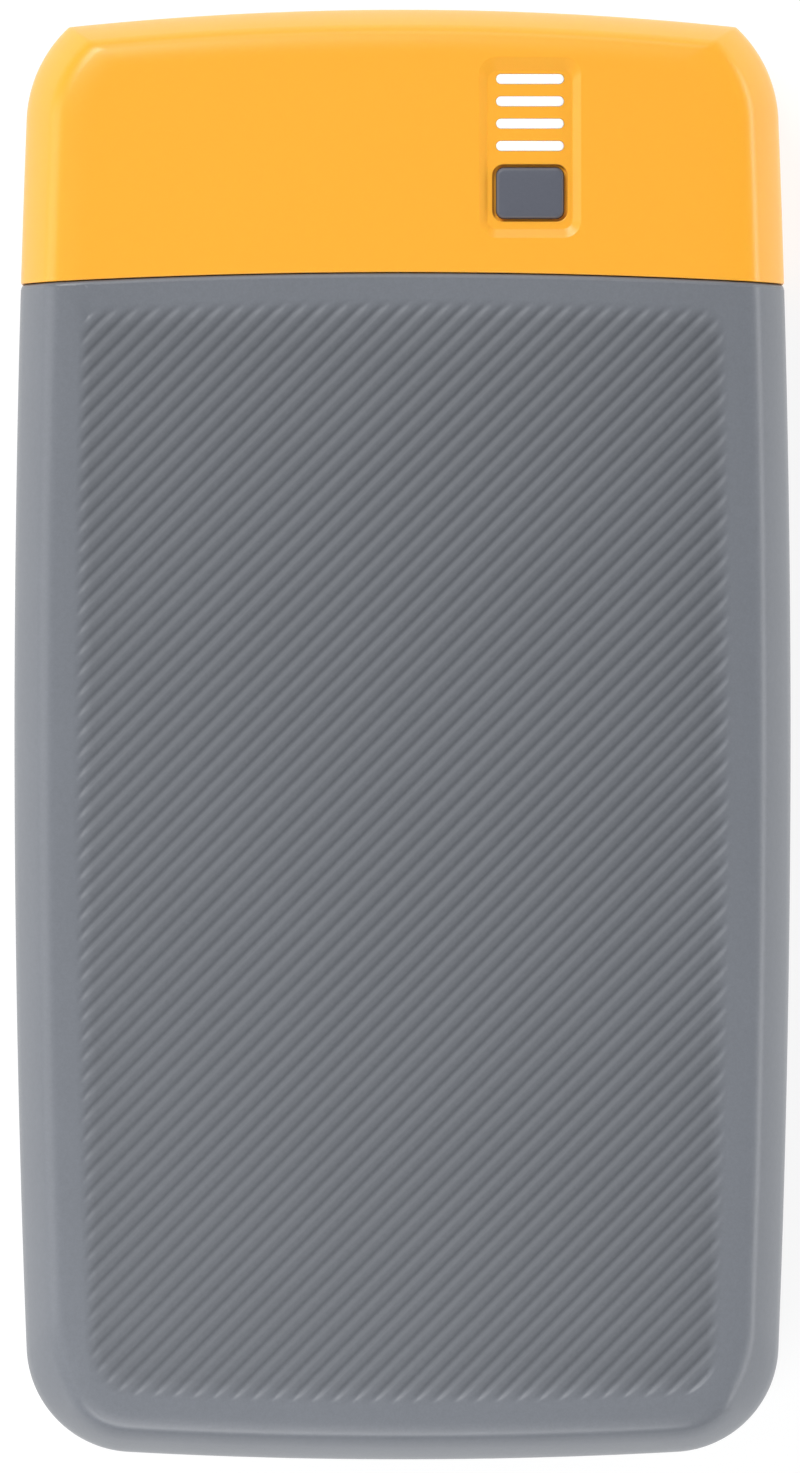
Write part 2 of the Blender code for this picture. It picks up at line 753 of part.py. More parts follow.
def capacitor(name, x, y):
    top = [(0, 5.8), (2.8, 5.8), (3.15, 5.4), (3.15, 0.9)]
    crimp_and_base = [(2.9, 0.7), (3.15, 0.5), (3.15, 0), (0, 0)]
    can = turned(top + crimp_and_base, 16)
    can.location = mm(x, y, BOARD_TOP + SOLDER_GAP)
    return as_part(can, name, CAN)


main_board()
for number, (x, y) in enumerate(BOARD_SCREWS, 1):
    under_head = BOARD_TOP + SOLDER_GAP
    screw(f"board_screw_{number}", (x, y, under_head), 1.5, 0.9, 0.6, 4.6, 1)
on_board("power_inductor_1", -17.5, 57.5, (10, 10, 4.2), FERRITE, 0.6)
on_board("power_inductor_2", -5.5, 57.5, (10, 10, 4.2), FERRITE, 0.6)
on_board("converter_chip", -6.5, 68.0, (6, 6, 0.9), CHIP)
on_board("charge_controller_chip", 2.5, 68.0, (5, 5, 0.9), CHIP)
on_board("sense_resistor", 5.0, 56.0, (6.4, 3.2, 0.6), CHIP)
for number, x in enumerate((-12.0, -4.0, 4.0, 12.0), 1):
    on_board(f"mosfet_{number}", x, 56.0, (5, 6, 1.0), CHIP, below=True)
capacitor("bulk_capacitor_1", -26.2, 62.0)
capacitor("bulk_capacitor_2", -16.5, 68.2)


# ---------------------------------------------------------------- cells and their frame


def pouch_cell(which):
    """A pouch with soft edges and the thin sealed terrace that its tabs come out of."""
    bottom = CELL_BOTTOMS[which]
    middle = bottom + CELL_SIZE[2] / 2
    half = CELL_SIZE[0] / 2
    cell = span((-half, half), CELL_Y, (bottom, bottom + CELL_SIZE[2]))
    rounded_edges(cell, 1.6, 2)
    terrace = span((-half + 2, half - 2), (CELL_Y[1] - 2, TERRACE_END), (middle - 0.4, middle + 0.4))
    join(cell, as_cutter(terrace, f"{which}_terrace"))
    as_part(cell, f"{which}_cell", POUCH)
    for pole, x in TAB_X.items():
        tab = span((x - 3, x + 3), (TERRACE_END + 0.2, 47.0), (middle - 0.15, middle + 0.15))
        as_part(tab, f"{which}_cell_tab_{pole}", NICKEL, None)


def cell_frame():
    """Rails round the cells, a crossbar between their terraces, and two arms that carry the board."""
    frame = plate([rounded_rectangle((0, -14.05), (72.8, 112.9), 6.0)], (5.5, 22.5))
    opening = plate([rounded_rectangle((0, -8), (66.4, 118), 2.0)], (0, THICKNESS))
    cut(frame, as_cutter(opening, "frame_opening"))
    crossbar = span((-33.6, 33.6), (39.6, 42.3), (12.7, 15.3))
    join(frame, as_cutter(crossbar, "frame_crossbar"))
    for hand in (-1, 1):
        arm = span(sorted((hand * 26.3, hand * 30.0)), (40.2, 72.8), (13.0, BOARD_BOTTOM - GAP))
        join(frame, as_cutter(arm, f"frame_arm_{hand}"))
    for i, place in enumerate(BOARD_SCREWS):
        hole = cylinder(place, 0.9, (13.6, 20), 10)
        cut(frame, as_cutter(hole, f"frame_pilot_{i}"))
    return as_part(frame, "cell_frame", FRAME, None)


for which_cell in CELL_BOTTOMS:
    pouch_cell(which_cell)
cell_frame()
pads = {
    "rear_foam_pad": ((-30, 30), (-62, 36), (2.3, 2.9)),
    "cell_spacer_pad": ((-30, 30), (-62, 36), (13.5, 14.5)),
    "front_foam_pad": ((-30, 30), (-62, 30), (25.1, 25.7)),
}
for pad_name, box in pads.items():
    as_part(span(*box), pad_name, FOAM, None)
as_part(span((-22, 22), (47.2, 48.2), (7.0, 20.4)), "protection_board", BOARD, None)


# ---------------------------------------------------------------- wires and shell screws


def battery_lead(name, x, finish):
    """From the protection board to the underside of the main board."""
    route = [(x, 48.4, 12.0), (x, 50.0, 12.1), (x, 52.4, 14.2), (x, 55.2, 15.8), (x, 59.0, 16.0)]
    return as_part(tube(route, 1.0), name, finish)


battery_lead("battery_lead_positive", -20.0, RED)
battery_lead("battery_lead_negative", 20.0, WIRE_BLACK)
bead = block((0, 34.5, 25.3), (1.8, 2.6, 0.8))
as_part(rounded_edges(bead, 0.3, 2), "thermistor", BLACK)
over_terrace = [(0, 36.0, 25.3), (0, 41.5, 25.1), (0, 46.5, 23.2)]
down_to_board = [(0, 50.5, 20.6), (0, 53.5, 19.5)]
as_part(tube(over_terrace + down_to_board, 0.4), "thermistor_lead", WIRE_BLACK)
for word, hand in (("left", -1), ("right", 1)):
    place = (hand * EAR_SCREW[0], EAR_SCREW[1], EAR_Z["rear"][0] - SOLDER_GAP)
    screw(f"shell_screw_{word}", place, 1.9, 1.4, 0.9, 10.0, -1)
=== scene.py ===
"""The looks of a pocket power bank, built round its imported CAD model.

It lies on its back: +Z is the front with the button, +Y is the socket end. Lengths here are
millimetres, and MM turns them into Blender's metres.
"""

import math

import bmesh
import bpy
import numpy as np
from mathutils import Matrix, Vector
from mathutils.bvhtree import BVHTree


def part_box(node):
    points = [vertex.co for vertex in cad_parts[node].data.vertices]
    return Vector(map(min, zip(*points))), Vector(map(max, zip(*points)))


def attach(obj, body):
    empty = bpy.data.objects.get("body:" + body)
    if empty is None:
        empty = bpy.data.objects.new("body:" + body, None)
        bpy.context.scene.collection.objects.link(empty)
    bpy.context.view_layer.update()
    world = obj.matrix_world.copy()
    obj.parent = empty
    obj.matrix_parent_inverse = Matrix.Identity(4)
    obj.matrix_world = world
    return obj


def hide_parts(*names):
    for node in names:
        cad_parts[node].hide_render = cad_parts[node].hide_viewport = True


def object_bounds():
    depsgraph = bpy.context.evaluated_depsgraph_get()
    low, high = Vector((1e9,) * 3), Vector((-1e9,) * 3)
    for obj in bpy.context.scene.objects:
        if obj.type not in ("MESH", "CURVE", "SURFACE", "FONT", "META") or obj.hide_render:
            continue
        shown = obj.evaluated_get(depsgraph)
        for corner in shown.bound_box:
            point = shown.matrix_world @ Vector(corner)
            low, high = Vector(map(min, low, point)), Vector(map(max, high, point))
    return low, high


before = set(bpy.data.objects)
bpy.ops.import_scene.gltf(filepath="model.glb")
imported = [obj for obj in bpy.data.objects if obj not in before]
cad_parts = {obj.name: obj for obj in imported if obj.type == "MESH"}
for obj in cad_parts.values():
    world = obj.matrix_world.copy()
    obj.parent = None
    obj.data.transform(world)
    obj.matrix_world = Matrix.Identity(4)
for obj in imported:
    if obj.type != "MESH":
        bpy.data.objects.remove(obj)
CAD_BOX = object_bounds()
MM = 0.001

# ---------------------------------------------------------------- the outside form, as in the CAD

WIDTH = 83.0
LENGTH = 155.0
THICKNESS = 28.0
MID_Z = THICKNESS / 2
SIDE_RADIUS = 1660.0
BOTTOM_RADIUS = 535.0
BOTTOM_CORNER_RADIUS = 11.5
END_RADIUS = 340.0
END_CORNER_RADIUS = 14.2
END_CORNER_Y = 65.2
SIDE_ROLL = 7.2
END_ROLL = 5.0
# The rolled edge's arcs: how far each end of an arc has turned from the flat, and its inset
ROLL_TURNS = ((0.0, SIDE_ROLL), (12.0, 4.3), (57.0, 2.4), (70.0, 0.5), (90.0, 0.0))
CREASE_RADIUS = 0.6
CREASE_RADIUS_AT_FACE = 3.0
# The rolled edge's steps in degrees: on the cap, on the shells, and on solids that stay hidden
CAP_STEP = 3
SHELL_STEP = 3.5
RIM_STEP = 2.5
HIDDEN_STEP = 10
WALL = 2.0
SEAM_Y = 49.3
SEAM_RADIUS = 700.0

# The visible joints are finer than the gaps that the CAD solids keep
SEAM_GAP = 0.08
PARTING_GAP = 0.12
PARTING_CHAMFER = 0.12

# The ribbed panel: how far it keeps from the sides, the bottom and the seam
PANEL_SIDE = 6.3
PANEL_BOTTOM = 5.9
PANEL_SEAM = 2.7
PANEL_TOP_CORNER = 3.0
PANEL_BOTTOM_CORNER = 5.0
PANEL_FADE = 2.5

# The ribs: each starts and ends in a fade, with points close together near its ends
RIB_PITCH = 1.545
RIB_SHIFT = -0.09
RIB_STEPS = 8
RIB_DEPTH = 0.28
RIB_SHARPNESS = 1.8
RIB_END = 2.0
RIB_NEAR_END = np.array((0, 0.2, 0.45, 0.8, 1.2, 1.7, 2.3, 3.0))

# How far the fine skins and the CAD solids' insides run into each other
SKIN_OVERLAP = 0.15

# How round the two edges at the seam are
BODY_RIM_RADIUS = 0.5
CAP_RIM_RADIUS = 0.12

# A cut piece keeps a surface's own shading this near to it, and within this angle of it
ON_SURFACE = 0.002
LIKE_ANGLE = 40

# The recess, the key and the light bars
RECESS_CENTRE = (13.6, 62.33)
RECESS_FLOOR = (8.9, 16.66)
RECESS_RADIUS = 0.9
# How wide its walls are, and the one towards the sockets
RECESS_SLOPE = 1.1
RECESS_END_SLOPE = 1.8
RECESS_DEPTH = 0.5
# The share of a wall's width that is eased at its foot, and again at its top
RECESS_EASED = 0.15
KEY_CENTRE = (13.6, 57.77)
KEY_HOLE = (7.98, 6.07)
KEY_HOLE_RADIUS = 1.15
KEY_HOLE_FLARE = 0.12
KEY_STEP = (7.31, 5.53)
KEY_STEP_DEPTH = 0.6
KEY_SIZE = (7.2, 5.42)
KEY_RADIUS = 0.85
KEY_BEVEL = 0.38
KEY_CROWN = 0.05
KEY_FOOT = 26.0
KEY_JOIN = 26.4
BAR_Y = [62.8 + 2.38 * i for i in range(4)]
BAR_SLOT = (7.3, 1.12)
BAR_SIZE = (7.22, 1.05)
BAR_SLOT_FLARE = 0.04
BAR_BEVEL = 0.1
BAR_CROWN = 0.04
BAR_FOOT = 25.5
BAR_JOIN = 25.9
# The light bars' painted glow: they give off a little light of their own, though nothing lights
# them
BAR_GLOW = 0.12

# The sockets
SOCKET_Z = 14.05
SOCKET_HOLES = (
    (-19.0, (13.7, 6.3), 0.9),
    (0.0, (9.56, 3.78), 1.88),
    (19.0, (13.7, 6.3), 0.9),
)
SOCKET_CHAMFER = 0.25
SOCKET_SHEET = 0.3
SOCKET_LIP = 0.08
# Each row of contacts is (count, pitch, width, length), on a face at a height that looks up or down
CONTACT_ROWS = (
    ("usb_a_left", (4, 2.4, 1.1, 6.4), ((SOCKET_Z + 0.05, -1),)),
    ("usb_a_right", (4, 2.4, 1.1, 6.4), ((SOCKET_Z + 0.05, -1),)),
    ("usb_c", (12, 0.5, 0.26, 3.6), ((SOCKET_Z + 0.35, 1), (SOCKET_Z - 0.35, -1))),
)

# Colours, and which way each circuit board faces
SHELL_GREY = (0.172, 0.184, 0.207)
CAP_YELLOW = (0.99, 0.44, 0.032)
KEY_GREY = (0.1, 0.107, 0.135)
BOARD_AXES = {"main_board": "Z", "protection_board": "Y"}

# Foam edges that the die rounded
FOAM_EDGE = 0.16

# Stage: the floor's size and drop, and how near and far the camera sees, are in metres
FLOOR_SIZE = 120.0
FLOOR_DROP = 0.0002
FLOOR_WHITE = 0.2
FLOOR_GLOW = 0.84
WORLD_STRENGTH = 0.22
FRAME_HEIGHT = 157.76
VIEW_CENTRE = (-0.27, -0.21)
CAMERA_LENS = 800.0
SENSOR_WIDTH = 36.0
CAMERA_CLIP = (0.5, 200.0)

# Every cross-section of the form is measured outwards from here
HUB = np.array((0.0, -14.0))


def arc(centre, radius, start, end, steps):
    """Points on an arc, with its start and without its end."""
    angles = np.linspace(start, end, steps, endpoint=False)
    return np.array(centre) + radius * np.column_stack((np.cos(angles), np.sin(angles)))


def circles_meet(a, radius_a, b, radius_b):
    """The point with the larger x where two circles cross."""
    apart = (b - a).length
    along = (apart**2 + radius_a**2 - radius_b**2) / (2 * apart)
    across = math.sqrt(radius_a**2 - along**2)
    direction = (b - a) / apart
    normal = Vector((-direction.y, direction.x))
    points = [a + direction * along + normal * across * sign for sign in (1, -1)]
    return max(points, key=lambda p: p.x)


def heading(start, end):
    return math.atan2(end.y - start.y, end.x - start.x)


SIDE_CENTRE = Vector((WIDTH / 2 - SIDE_RADIUS, 0))
BOTTOM_CENTRE = Vector((0, BOTTOM_RADIUS - LENGTH / 2))
END_CENTRE = Vector((0, LENGTH / 2 - END_RADIUS))
SEAM_CENTRE = Vector((0, SEAM_Y - SEAM_RADIUS))
END_CORNER_REACH = math.sqrt((SIDE_RADIUS - END_CORNER_RADIUS) ** 2 - END_CORNER_Y**2)
END_CORNER = Vector((SIDE_CENTRE.x + END_CORNER_REACH, END_CORNER_Y))


def mirrored(right):
    """A closed anticlockwise outline from its right half, which runs from top to bottom."""
    left = right[1:-1] * (-1, 1)
    return np.vstack((right[::-1], left))


def outline(side, end, crease):
    """The front view's outline moved inwards at the sides and at both ends, in fine steps."""
    side_radius = SIDE_RADIUS - side
    end_radius = END_RADIUS - end
    end_corner_radius = END_CORNER_RADIUS - side
    bottom_radius = BOTTOM_RADIUS - end
    bottom_corner_radius = BOTTOM_CORNER_RADIUS - side
    crease_centre = circles_meet(
        END_CENTRE, end_radius - crease, END_CORNER, end_corner_radius - crease
    )
    bottom_corner = circles_meet(
        SIDE_CENTRE,
        side_radius - bottom_corner_radius,
        BOTTOM_CENTRE,
        bottom_radius - bottom_corner_radius,
    )
    end_angle = heading(END_CENTRE, crease_centre)
    corner_angle = heading(END_CORNER, crease_centre)
    side_top = heading(SIDE_CENTRE, END_CORNER)
    side_bottom = heading(SIDE_CENTRE, bottom_corner)
    bottom_angle = heading(BOTTOM_CENTRE, bottom_corner)
    arcs = (
        arc(END_CENTRE, end_radius, math.pi / 2, end_angle, 60),
        arc(crease_centre, crease, end_angle, corner_angle, 14),
        arc(END_CORNER, end_corner_radius, corner_angle, side_top, 60),
        arc(SIDE_CENTRE, side_radius, side_top, side_bottom, 80),
        arc(bottom_corner, bottom_corner_radius, side_bottom, bottom_angle, 100),
        arc(BOTTOM_CENTRE, bottom_radius, bottom_angle, -math.pi / 2, 60),
        np.array([(0, BOTTOM_CENTRE.y - bottom_radius)]),
    )
    return mirrored(np.vstack(arcs))


def panel_outline():
    """The edge of the ribbed panel: it follows the sides, the bottom and the seam."""
    big = (
        (SEAM_CENTRE, SEAM_RADIUS - PANEL_SEAM),
        (SIDE_CENTRE, SIDE_RADIUS - PANEL_SIDE),
        (BOTTOM_CENTRE, BOTTOM_RADIUS - PANEL_BOTTOM),
    )
    angle = math.pi / 2
    pieces = []
    for (a, radius_a), (b, radius_b), fillet in zip(
        big, big[1:], (PANEL_TOP_CORNER, PANEL_BOTTOM_CORNER)
    ):
        centre = circles_meet(a, radius_a - fillet, b, radius_b - fillet)
        pieces.append(arc(a, radius_a, angle, heading(a, centre), 60))
        pieces.append(arc(centre, fillet, heading(a, centre), heading(b, centre), 40))
        angle = heading(b, centre)
    centre, radius = big[-1]
    pieces.append(arc(centre, radius, angle, -math.pi / 2, 60))
    pieces.append(np.array([(0, centre.y - radius)]))
    return mirrored(np.vstack(pieces))


def cross(a, b):
    return a[..., 0] * b[..., 1] - a[..., 1] * b[..., 0]


def at_angles(curve, angles):
    """How far from the hub rays at these angles cross a closed curve."""
    offset = curve - HUB
    turn = np.mod(np.arctan2(offset[:, 1], offset[:, 0]), 2 * math.pi)
    order = np.argsort(turn)
    offset, turn = offset[order], turn[order]
    after = np.searchsorted(turn, np.mod(angles, 2 * math.pi)) % len(turn)
    a, b = offset[after - 1], offset[after]
    ray = np.column_stack((np.cos(angles), np.sin(angles)))
    share = cross(a, ray) / (cross(a, ray) - cross(b, ray))
    return np.hypot(*(a + share[:, None] * (b - a)).T)


def seam_y(x):
    return SEAM_CENTRE.y + np.sqrt(SEAM_RADIUS**2 - x**2)


# ---------------------------------------------------------------- meshes


def mesh_object(name, points, faces):
    """An object from points in millimetres."""
    mesh = bpy.data.meshes.new(name)
    mesh.from_pydata((np.asarray(points) * MM).tolist(), [], faces)
    obj = bpy.data.objects.new(name, mesh)
    bpy.context.scene.collection.objects.link(obj)
    bm = bmesh.new()
    bm.from_mesh(mesh)
    bmesh.ops.recalc_face_normals(bm, faces=bm.faces)
    bm.to_mesh(mesh)
    bm.free()
    return obj


def loop_faces(first, second):
    """Quads between two closed loops of point numbers."""
    return [
        (first[i - 1], first[i], second[i], second[i - 1]) for i in range(len(first))
    ]


def lofted(name, loops, closed=False):
    """A solid through loops of (N, 3) points: a ring if it is closed, else capped at both ends."""
    count = len(loops[0])
    numbers = np.arange(len(loops) * count).reshape(-1, count).tolist()
    faces = [face for a, b in zip(numbers, numbers[1:]) for face in loop_faces(a, b)]
    if closed:
        faces += loop_faces(numbers[-1], numbers[0])
    else:
        faces += [numbers[0], numbers[-1]]
    return mesh_object(name, np.vstack(loops), faces)


def flat_loop(points, z):
    return np.column_stack((points, np.broadcast_to(z, len(points))))


def prism(name, points, low, high):
    return lofted(name, [flat_loop(points, low), flat_loop(points, high)])


def box_solid(name, low, high):
    corners = [(low[0], low[1]), (high[0], low[1]), (high[0], high[1]), (low[0], high[1])]
    return prism(name, np.array(corners, float), low[2], high[2])


def applied(obj):
    """The object with its modifiers made real."""
    graph = bpy.context.evaluated_depsgraph_get()
    mesh = bpy.data.meshes.new_from_object(obj.evaluated_get(graph))
    obj.modifiers.clear()
    obj.data = mesh
    return obj


def boolean(obj, cutter, operation="DIFFERENCE"):
    """Cuts, joins or keeps at once, and removes the other object."""
    modifier = obj.modifiers.new("boolean", "BOOLEAN")
    modifier.operation = operation
    modifier.solver = "MANIFOLD"
    modifier.object = cutter
    applied(obj)
    bpy.data.objects.remove(cutter)
    return obj


def cad_copy(node):
    """A closed copy of a CAD solid, to join to a finer outside."""
    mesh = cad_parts[node].data.copy()
    bm = bmesh.new()
    bm.from_mesh(mesh)
    bmesh.ops.remove_doubles(bm, verts=bm.verts, dist=1e-7)
    bm.to_mesh(mesh)
    bm.free()
    obj = bpy.data.objects.new(node + "_inside", mesh)
    bpy.context.scene.collection.objects.link(obj)
    return obj


def rounded_rectangle(centre, size, radius, steps=8):
    """A rectangle with round corners, anticlockwise."""
    half = np.array(size) / 2 - radius
    points = []
    for quarter, signs in enumerate(((1, 1), (-1, 1), (-1, -1), (1, -1))):
        corner = np.array(centre) + half * signs
        start = quarter * math.pi / 2
        angles = np.linspace(start, start + math.pi / 2, steps + 1)
        points.append(corner + radius * np.column_stack((np.cos(angles), np.sin(angles))))
    return np.vstack(points)


def smooth(obj, angle=32, like=None):
    """Smooth shading with edges over this angle sharp.

    Corners on the surface like, which Booleans cut, keep the normals it has there. A corner where
    another surface meets it at an angle doesn't, unless its whole face lies on that surface.
    """
    obj.data.shade_smooth()
    obj.data.set_sharp_from_angle(angle=math.radians(angle))
    weighted = obj.modifiers.new("weighted", "WEIGHTED_NORMAL")
    weighted.keep_sharp = True
    weighted.weight = 100
    applied(obj)
    if not like:
        return obj
    mesh = obj.data
    smooth_there = like_normals(mesh, like)
    normals = np.zeros((len(mesh.loops), 3))
    mesh.corner_normals.foreach_get("vector", normals.ravel())
    owners = np.zeros(len(mesh.loops), int)
    mesh.loops.foreach_get("vertex_index", owners)
    wanted = smooth_there[owners]
    on_it = np.any(wanted, axis=1)
    sides = np.zeros(len(mesh.polygons), int)
    mesh.polygons.foreach_get("loop_total", sides)
    faces = np.repeat(np.arange(len(sides)), sides)
    within = (np.bincount(faces, on_it) == sides)[faces]
    close = np.sum(normals * wanted, axis=1) > math.cos(math.radians(LIKE_ANGLE))
    kept = close | within
    normals[kept] = wanted[kept]
    mesh.normals_split_custom_set(normals.tolist())
    return obj


def like_normals(mesh, like):
    """The smooth normal of a surface at each of a mesh's points that lie on it, else zero."""
    like.calc_loop_triangles()
    corners = np.zeros((len(like.loop_triangles), 3), int)
    like.loop_triangles.foreach_get("vertices", corners.ravel())
    points = np.zeros((len(like.vertices), 3))
    like.vertices.foreach_get("co", points.ravel())
    there = np.zeros((len(like.vertices), 3))
    like.vertex_normals.foreach_get("vector", there.ravel())
    tree = BVHTree.FromPolygons(points.tolist(), corners.tolist())
    found = np.zeros((len(mesh.vertices), 3))
    for i, vertex in enumerate(mesh.vertices):
        place, _, triangle, _ = tree.find_nearest(vertex.co, ON_SURFACE * MM)
        if place is None:
            continue
        a, b, c = points[corners[triangle]]
        area = np.cross(b - a, c - a)
        size = area @ area
        if not size:
            continue
        point = np.array(place)
        weights = (
            np.cross(b - point, c - point) @ area / size,
            np.cross(c - point, a - point) @ area / size,
            np.cross(a - point, b - point) @ area / size,
        )
        normal = np.array(weights) @ there[corners[triangle]]
        found[i] = normal / np.linalg.norm(normal)
    return found


def piece(obj, name, body, slot, finish, *nodes):
    """Names a finished piece, gives it its material and its body, and hides what it replaces."""
    obj.name = name
    obj.data.name = name
    obj.data.materials.clear()
    obj.data.materials.append(finish)
    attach(obj, body)
    if nodes:
        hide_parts(*nodes)
    return obj


# ---------------------------------------------------------------- the rolled form


def edge_point(turned):
    """(inset, drop below the flat) where the rolled edge has turned this far, in degrees."""
    inset, drop = np.full(np.shape(turned), SIDE_ROLL), np.zeros(np.shape(turned))
    for (start, outer), (end, inner) in zip(ROLL_TURNS, ROLL_TURNS[1:]):
        first, last = math.radians(start), math.radians(end)
        here = np.clip(np.radians(turned), first, last)
        radius = (outer - inner) / (math.sin(last) - math.sin(first))
        inset -= radius * (np.sin(here) - math.sin(first))
        drop += radius * (math.cos(first) - np.cos(here))
    return inset, drop


EDGE_INSET, EDGE_DROP = edge_point(np.linspace(0, 90, 901))


def height(share):
    """Height above mid thickness: share is 0 at the flat's edge and 1 at the outline."""
    return MID_Z - np.interp(SIDE_ROLL * share, SIDE_ROLL - EDGE_INSET, EDGE_DROP)


def roll_shares(step):
    """Shares at which the rolled edge has turned by equal angles, in degrees, from 0 to 1."""
    turned = np.append(np.arange(0, 90 - step / 2, step), 90)
    return 1 - edge_point(turned)[0] / SIDE_ROLL


def whole_form(name, inset, step):
    """The outside form as one solid, with its skin moved inwards by inset."""
    loops = []
    for share in roll_shares(step):
        roll = 1 - share
        crease = CREASE_RADIUS + (CREASE_RADIUS_AT_FACE - CREASE_RADIUS) * roll
        side = inset + (SIDE_ROLL - inset) * roll
        end = inset + (END_ROLL - inset) * roll
        rise = height(share) * (MID_Z - inset) / MID_Z
        loops.append(flat_loop(outline(side, end, crease), rise))
    lower = [loop * (1, 1, -1) for loop in loops]
    rings = lower + loops[::-1]
    return lofted(name, [ring + (0, 0, MID_Z) for ring in rings])


def seam_side(name, shift, sign):
    """Everything on one side of a line parallel to the seam: sign 1 is the socket end."""
    x = np.linspace(-45, 45, 181)
    line = np.column_stack((x, seam_y(x) + shift))
    far = np.array(((45, sign * 90), (-45, sign * 90)))
    return prism(name, np.vstack((line, far)), -1, THICKNESS + 1)


def seam_rounding(name, shift, sign, radius):
    """What has to go so that an edge at the seam is round. sign 1 rounds the body, -1 the cap."""
    shares = roll_shares(RIM_STEP)
    inset = SIDE_ROLL * (1 - shares)
    x = np.full(len(shares), WIDTH / 2)
    for _ in range(4):
        reach = (SIDE_RADIUS - inset) ** 2 - (seam_y(x) + shift) ** 2
        x = SIDE_CENTRE.x + np.sqrt(reach)
    top = np.linspace(-x[0], x[0], 61)[1:-1]
    quarter = np.column_stack((x, height(shares)))
    across = np.vstack(
        (
            quarter,
            quarter[::-1] * (1, -1),
            np.column_stack((top[::-1], np.full(len(top), -MID_Z))),
            quarter * (-1, -1),
            quarter[::-1] * (-1, 1),
            np.column_stack((top, np.full(len(top), MID_Z))),
        )
    )
    path = np.column_stack((across[:, 0], seam_y(across[:, 0]) + shift, MID_Z + across[:, 1]))
    along = np.roll(path, -1, 0) - np.roll(path, 1, 0)
    along /= np.linalg.norm(along, axis=1)[:, None]
    slope = path[:, 0] / (path[:, 1] - SEAM_CENTRE.y)
    wall = sign * np.column_stack((slope, np.ones(len(path)), np.zeros(len(path))))
    wall /= np.linalg.norm(wall, axis=1)[:, None]
    out = np.cross(wall, along)
    out /= np.linalg.norm(out, axis=1)[:, None]
    out *= np.sign(np.sum(out * (path - (0, SEAM_Y, MID_Z)), axis=1))[:, None]
    turn = np.linspace(0, math.pi / 2, 8)
    bite, beyond = 0.004, 0.25
    outwards = np.concatenate((radius * (np.cos(turn) - 1) - bite, (-radius, beyond, beyond)))
    past = np.concatenate((radius * (np.sin(turn) - 1) - bite, (beyond, beyond, -radius)))
    loops = [path + a * out + b * wall for a, b in zip(outwards, past)]
    return lofted(name, [np.array(loop) for loop in loops], closed=True)


def rib_lines():
    """Points in lines along the ribs, each line from edge to edge of the panel.

    Returns an array (line, point, 3) of x, y and how deep the groove is there.
    """
    edge = panel_outline()
    along = edge @ (math.sqrt(0.5), math.sqrt(0.5))
    across = edge @ (-math.sqrt(0.5), math.sqrt(0.5))
    start, stop = np.argmin(across), np.argmax(across)
    order = np.roll(np.arange(len(edge)), -start)
    split = (stop - start) % len(edge)
    first_side = order[: split + 1]
    second_side = np.append(order[split:], order[0])[::-1]
    step = RIB_PITCH / RIB_STEPS
    first = math.ceil((across[start] - RIB_SHIFT) / step + 0.5)
    last = math.floor((across[stop] - RIB_SHIFT) / step - 0.5)
    numbers = np.arange(first, last + 1)
    places = numbers * step + RIB_SHIFT
    ends = [np.interp(places, across[side], along[side]) for side in (first_side, second_side)]
    low, high = np.minimum(*ends), np.maximum(*ends)
    length = high - low
    near = RIB_NEAR_END * np.minimum(1, length / (2.6 * RIB_NEAR_END[-1]))[:, None]
    middle = np.linspace(near[:, -1], length - near[:, -1], 9, axis=1)[:, 1:-1]
    reach = np.hstack((near, middle, length[:, None] - near[:, ::-1]))
    inside = np.clip(np.minimum(reach, length[:, None] - reach) / RIB_END, 0, 1)
    fade = inside**2 * (3 - 2 * inside)
    groove = (0.5 + 0.5 * np.cos(2 * math.pi * numbers / RIB_STEPS)) ** RIB_SHARPNESS
    depth = RIB_DEPTH * groove[:, None] * fade
    u = low[:, None] + reach
    v = places[:, None]
    return np.dstack(((u - v) * math.sqrt(0.5), (u + v) * math.sqrt(0.5), depth))


def form_half(name, side):
    """The front (side 1) or back (-1) half of the form, ribbed, and open towards the other half."""
    lines = rib_lines()
    numbers = np.arange(lines.shape[0] * lines.shape[1]).reshape(lines.shape[:2])
    edge = np.concatenate(
        (numbers[0], numbers[1:-1, -1], numbers[-1, ::-1], numbers[-2:0:-1, 0])
    )
    flat = lines.reshape(-1, 3)
    offset = flat[:, :2] - HUB
    angles = np.arctan2(offset[:, 1], offset[:, 0])
    inner, outer = at_angles(FLAT, angles), at_angles(OUTER, angles)
    share = (np.hypot(*offset.T) - inner) / (outer - inner)
    loops = [flat_loop(flat[:, :2], height(share) - flat[:, 2])]

    ray = np.column_stack((np.cos(angles[edge]), np.sin(angles[edge])))
    inner, outer, share = inner[edge], outer[edge], share[edge]
    start = 1 - PANEL_SIDE / SIDE_ROLL
    parts = (roll_shares(SHELL_STEP) - start) / (1 - start)
    for part in parts[parts > 0.01]:
        at = share + (1 - share) * part
        radius = inner + at * (outer - inner)
        loops.append(flat_loop(HUB + ray * radius[:, None], height(at)))
    lowest = PARTING_GAP / 2 + PARTING_CHAMFER
    for inset, rise in ((0, lowest + 0.1), (0, lowest), (PARTING_CHAMFER, PARTING_GAP / 2)):
        loops.append(flat_loop(HUB + ray * (outer - inset)[:, None], rise))

    faces = [
        (a[j], a[j + 1], b[j + 1], b[j])
        for a, b in zip(numbers.tolist(), numbers[1:].tolist())
        for j in range(len(a) - 1)
    ]
    previous = edge.tolist()
    start = len(flat)
    for _ in loops[1:]:
        ring = list(range(start, start + len(edge)))
        faces += loop_faces(previous, ring)
        previous = ring
        start += len(edge)
    faces.append(previous)
    points = np.vstack(loops) * (1, 1, side) + (0, 0, MID_Z)
    return mesh_object(name, points, faces)


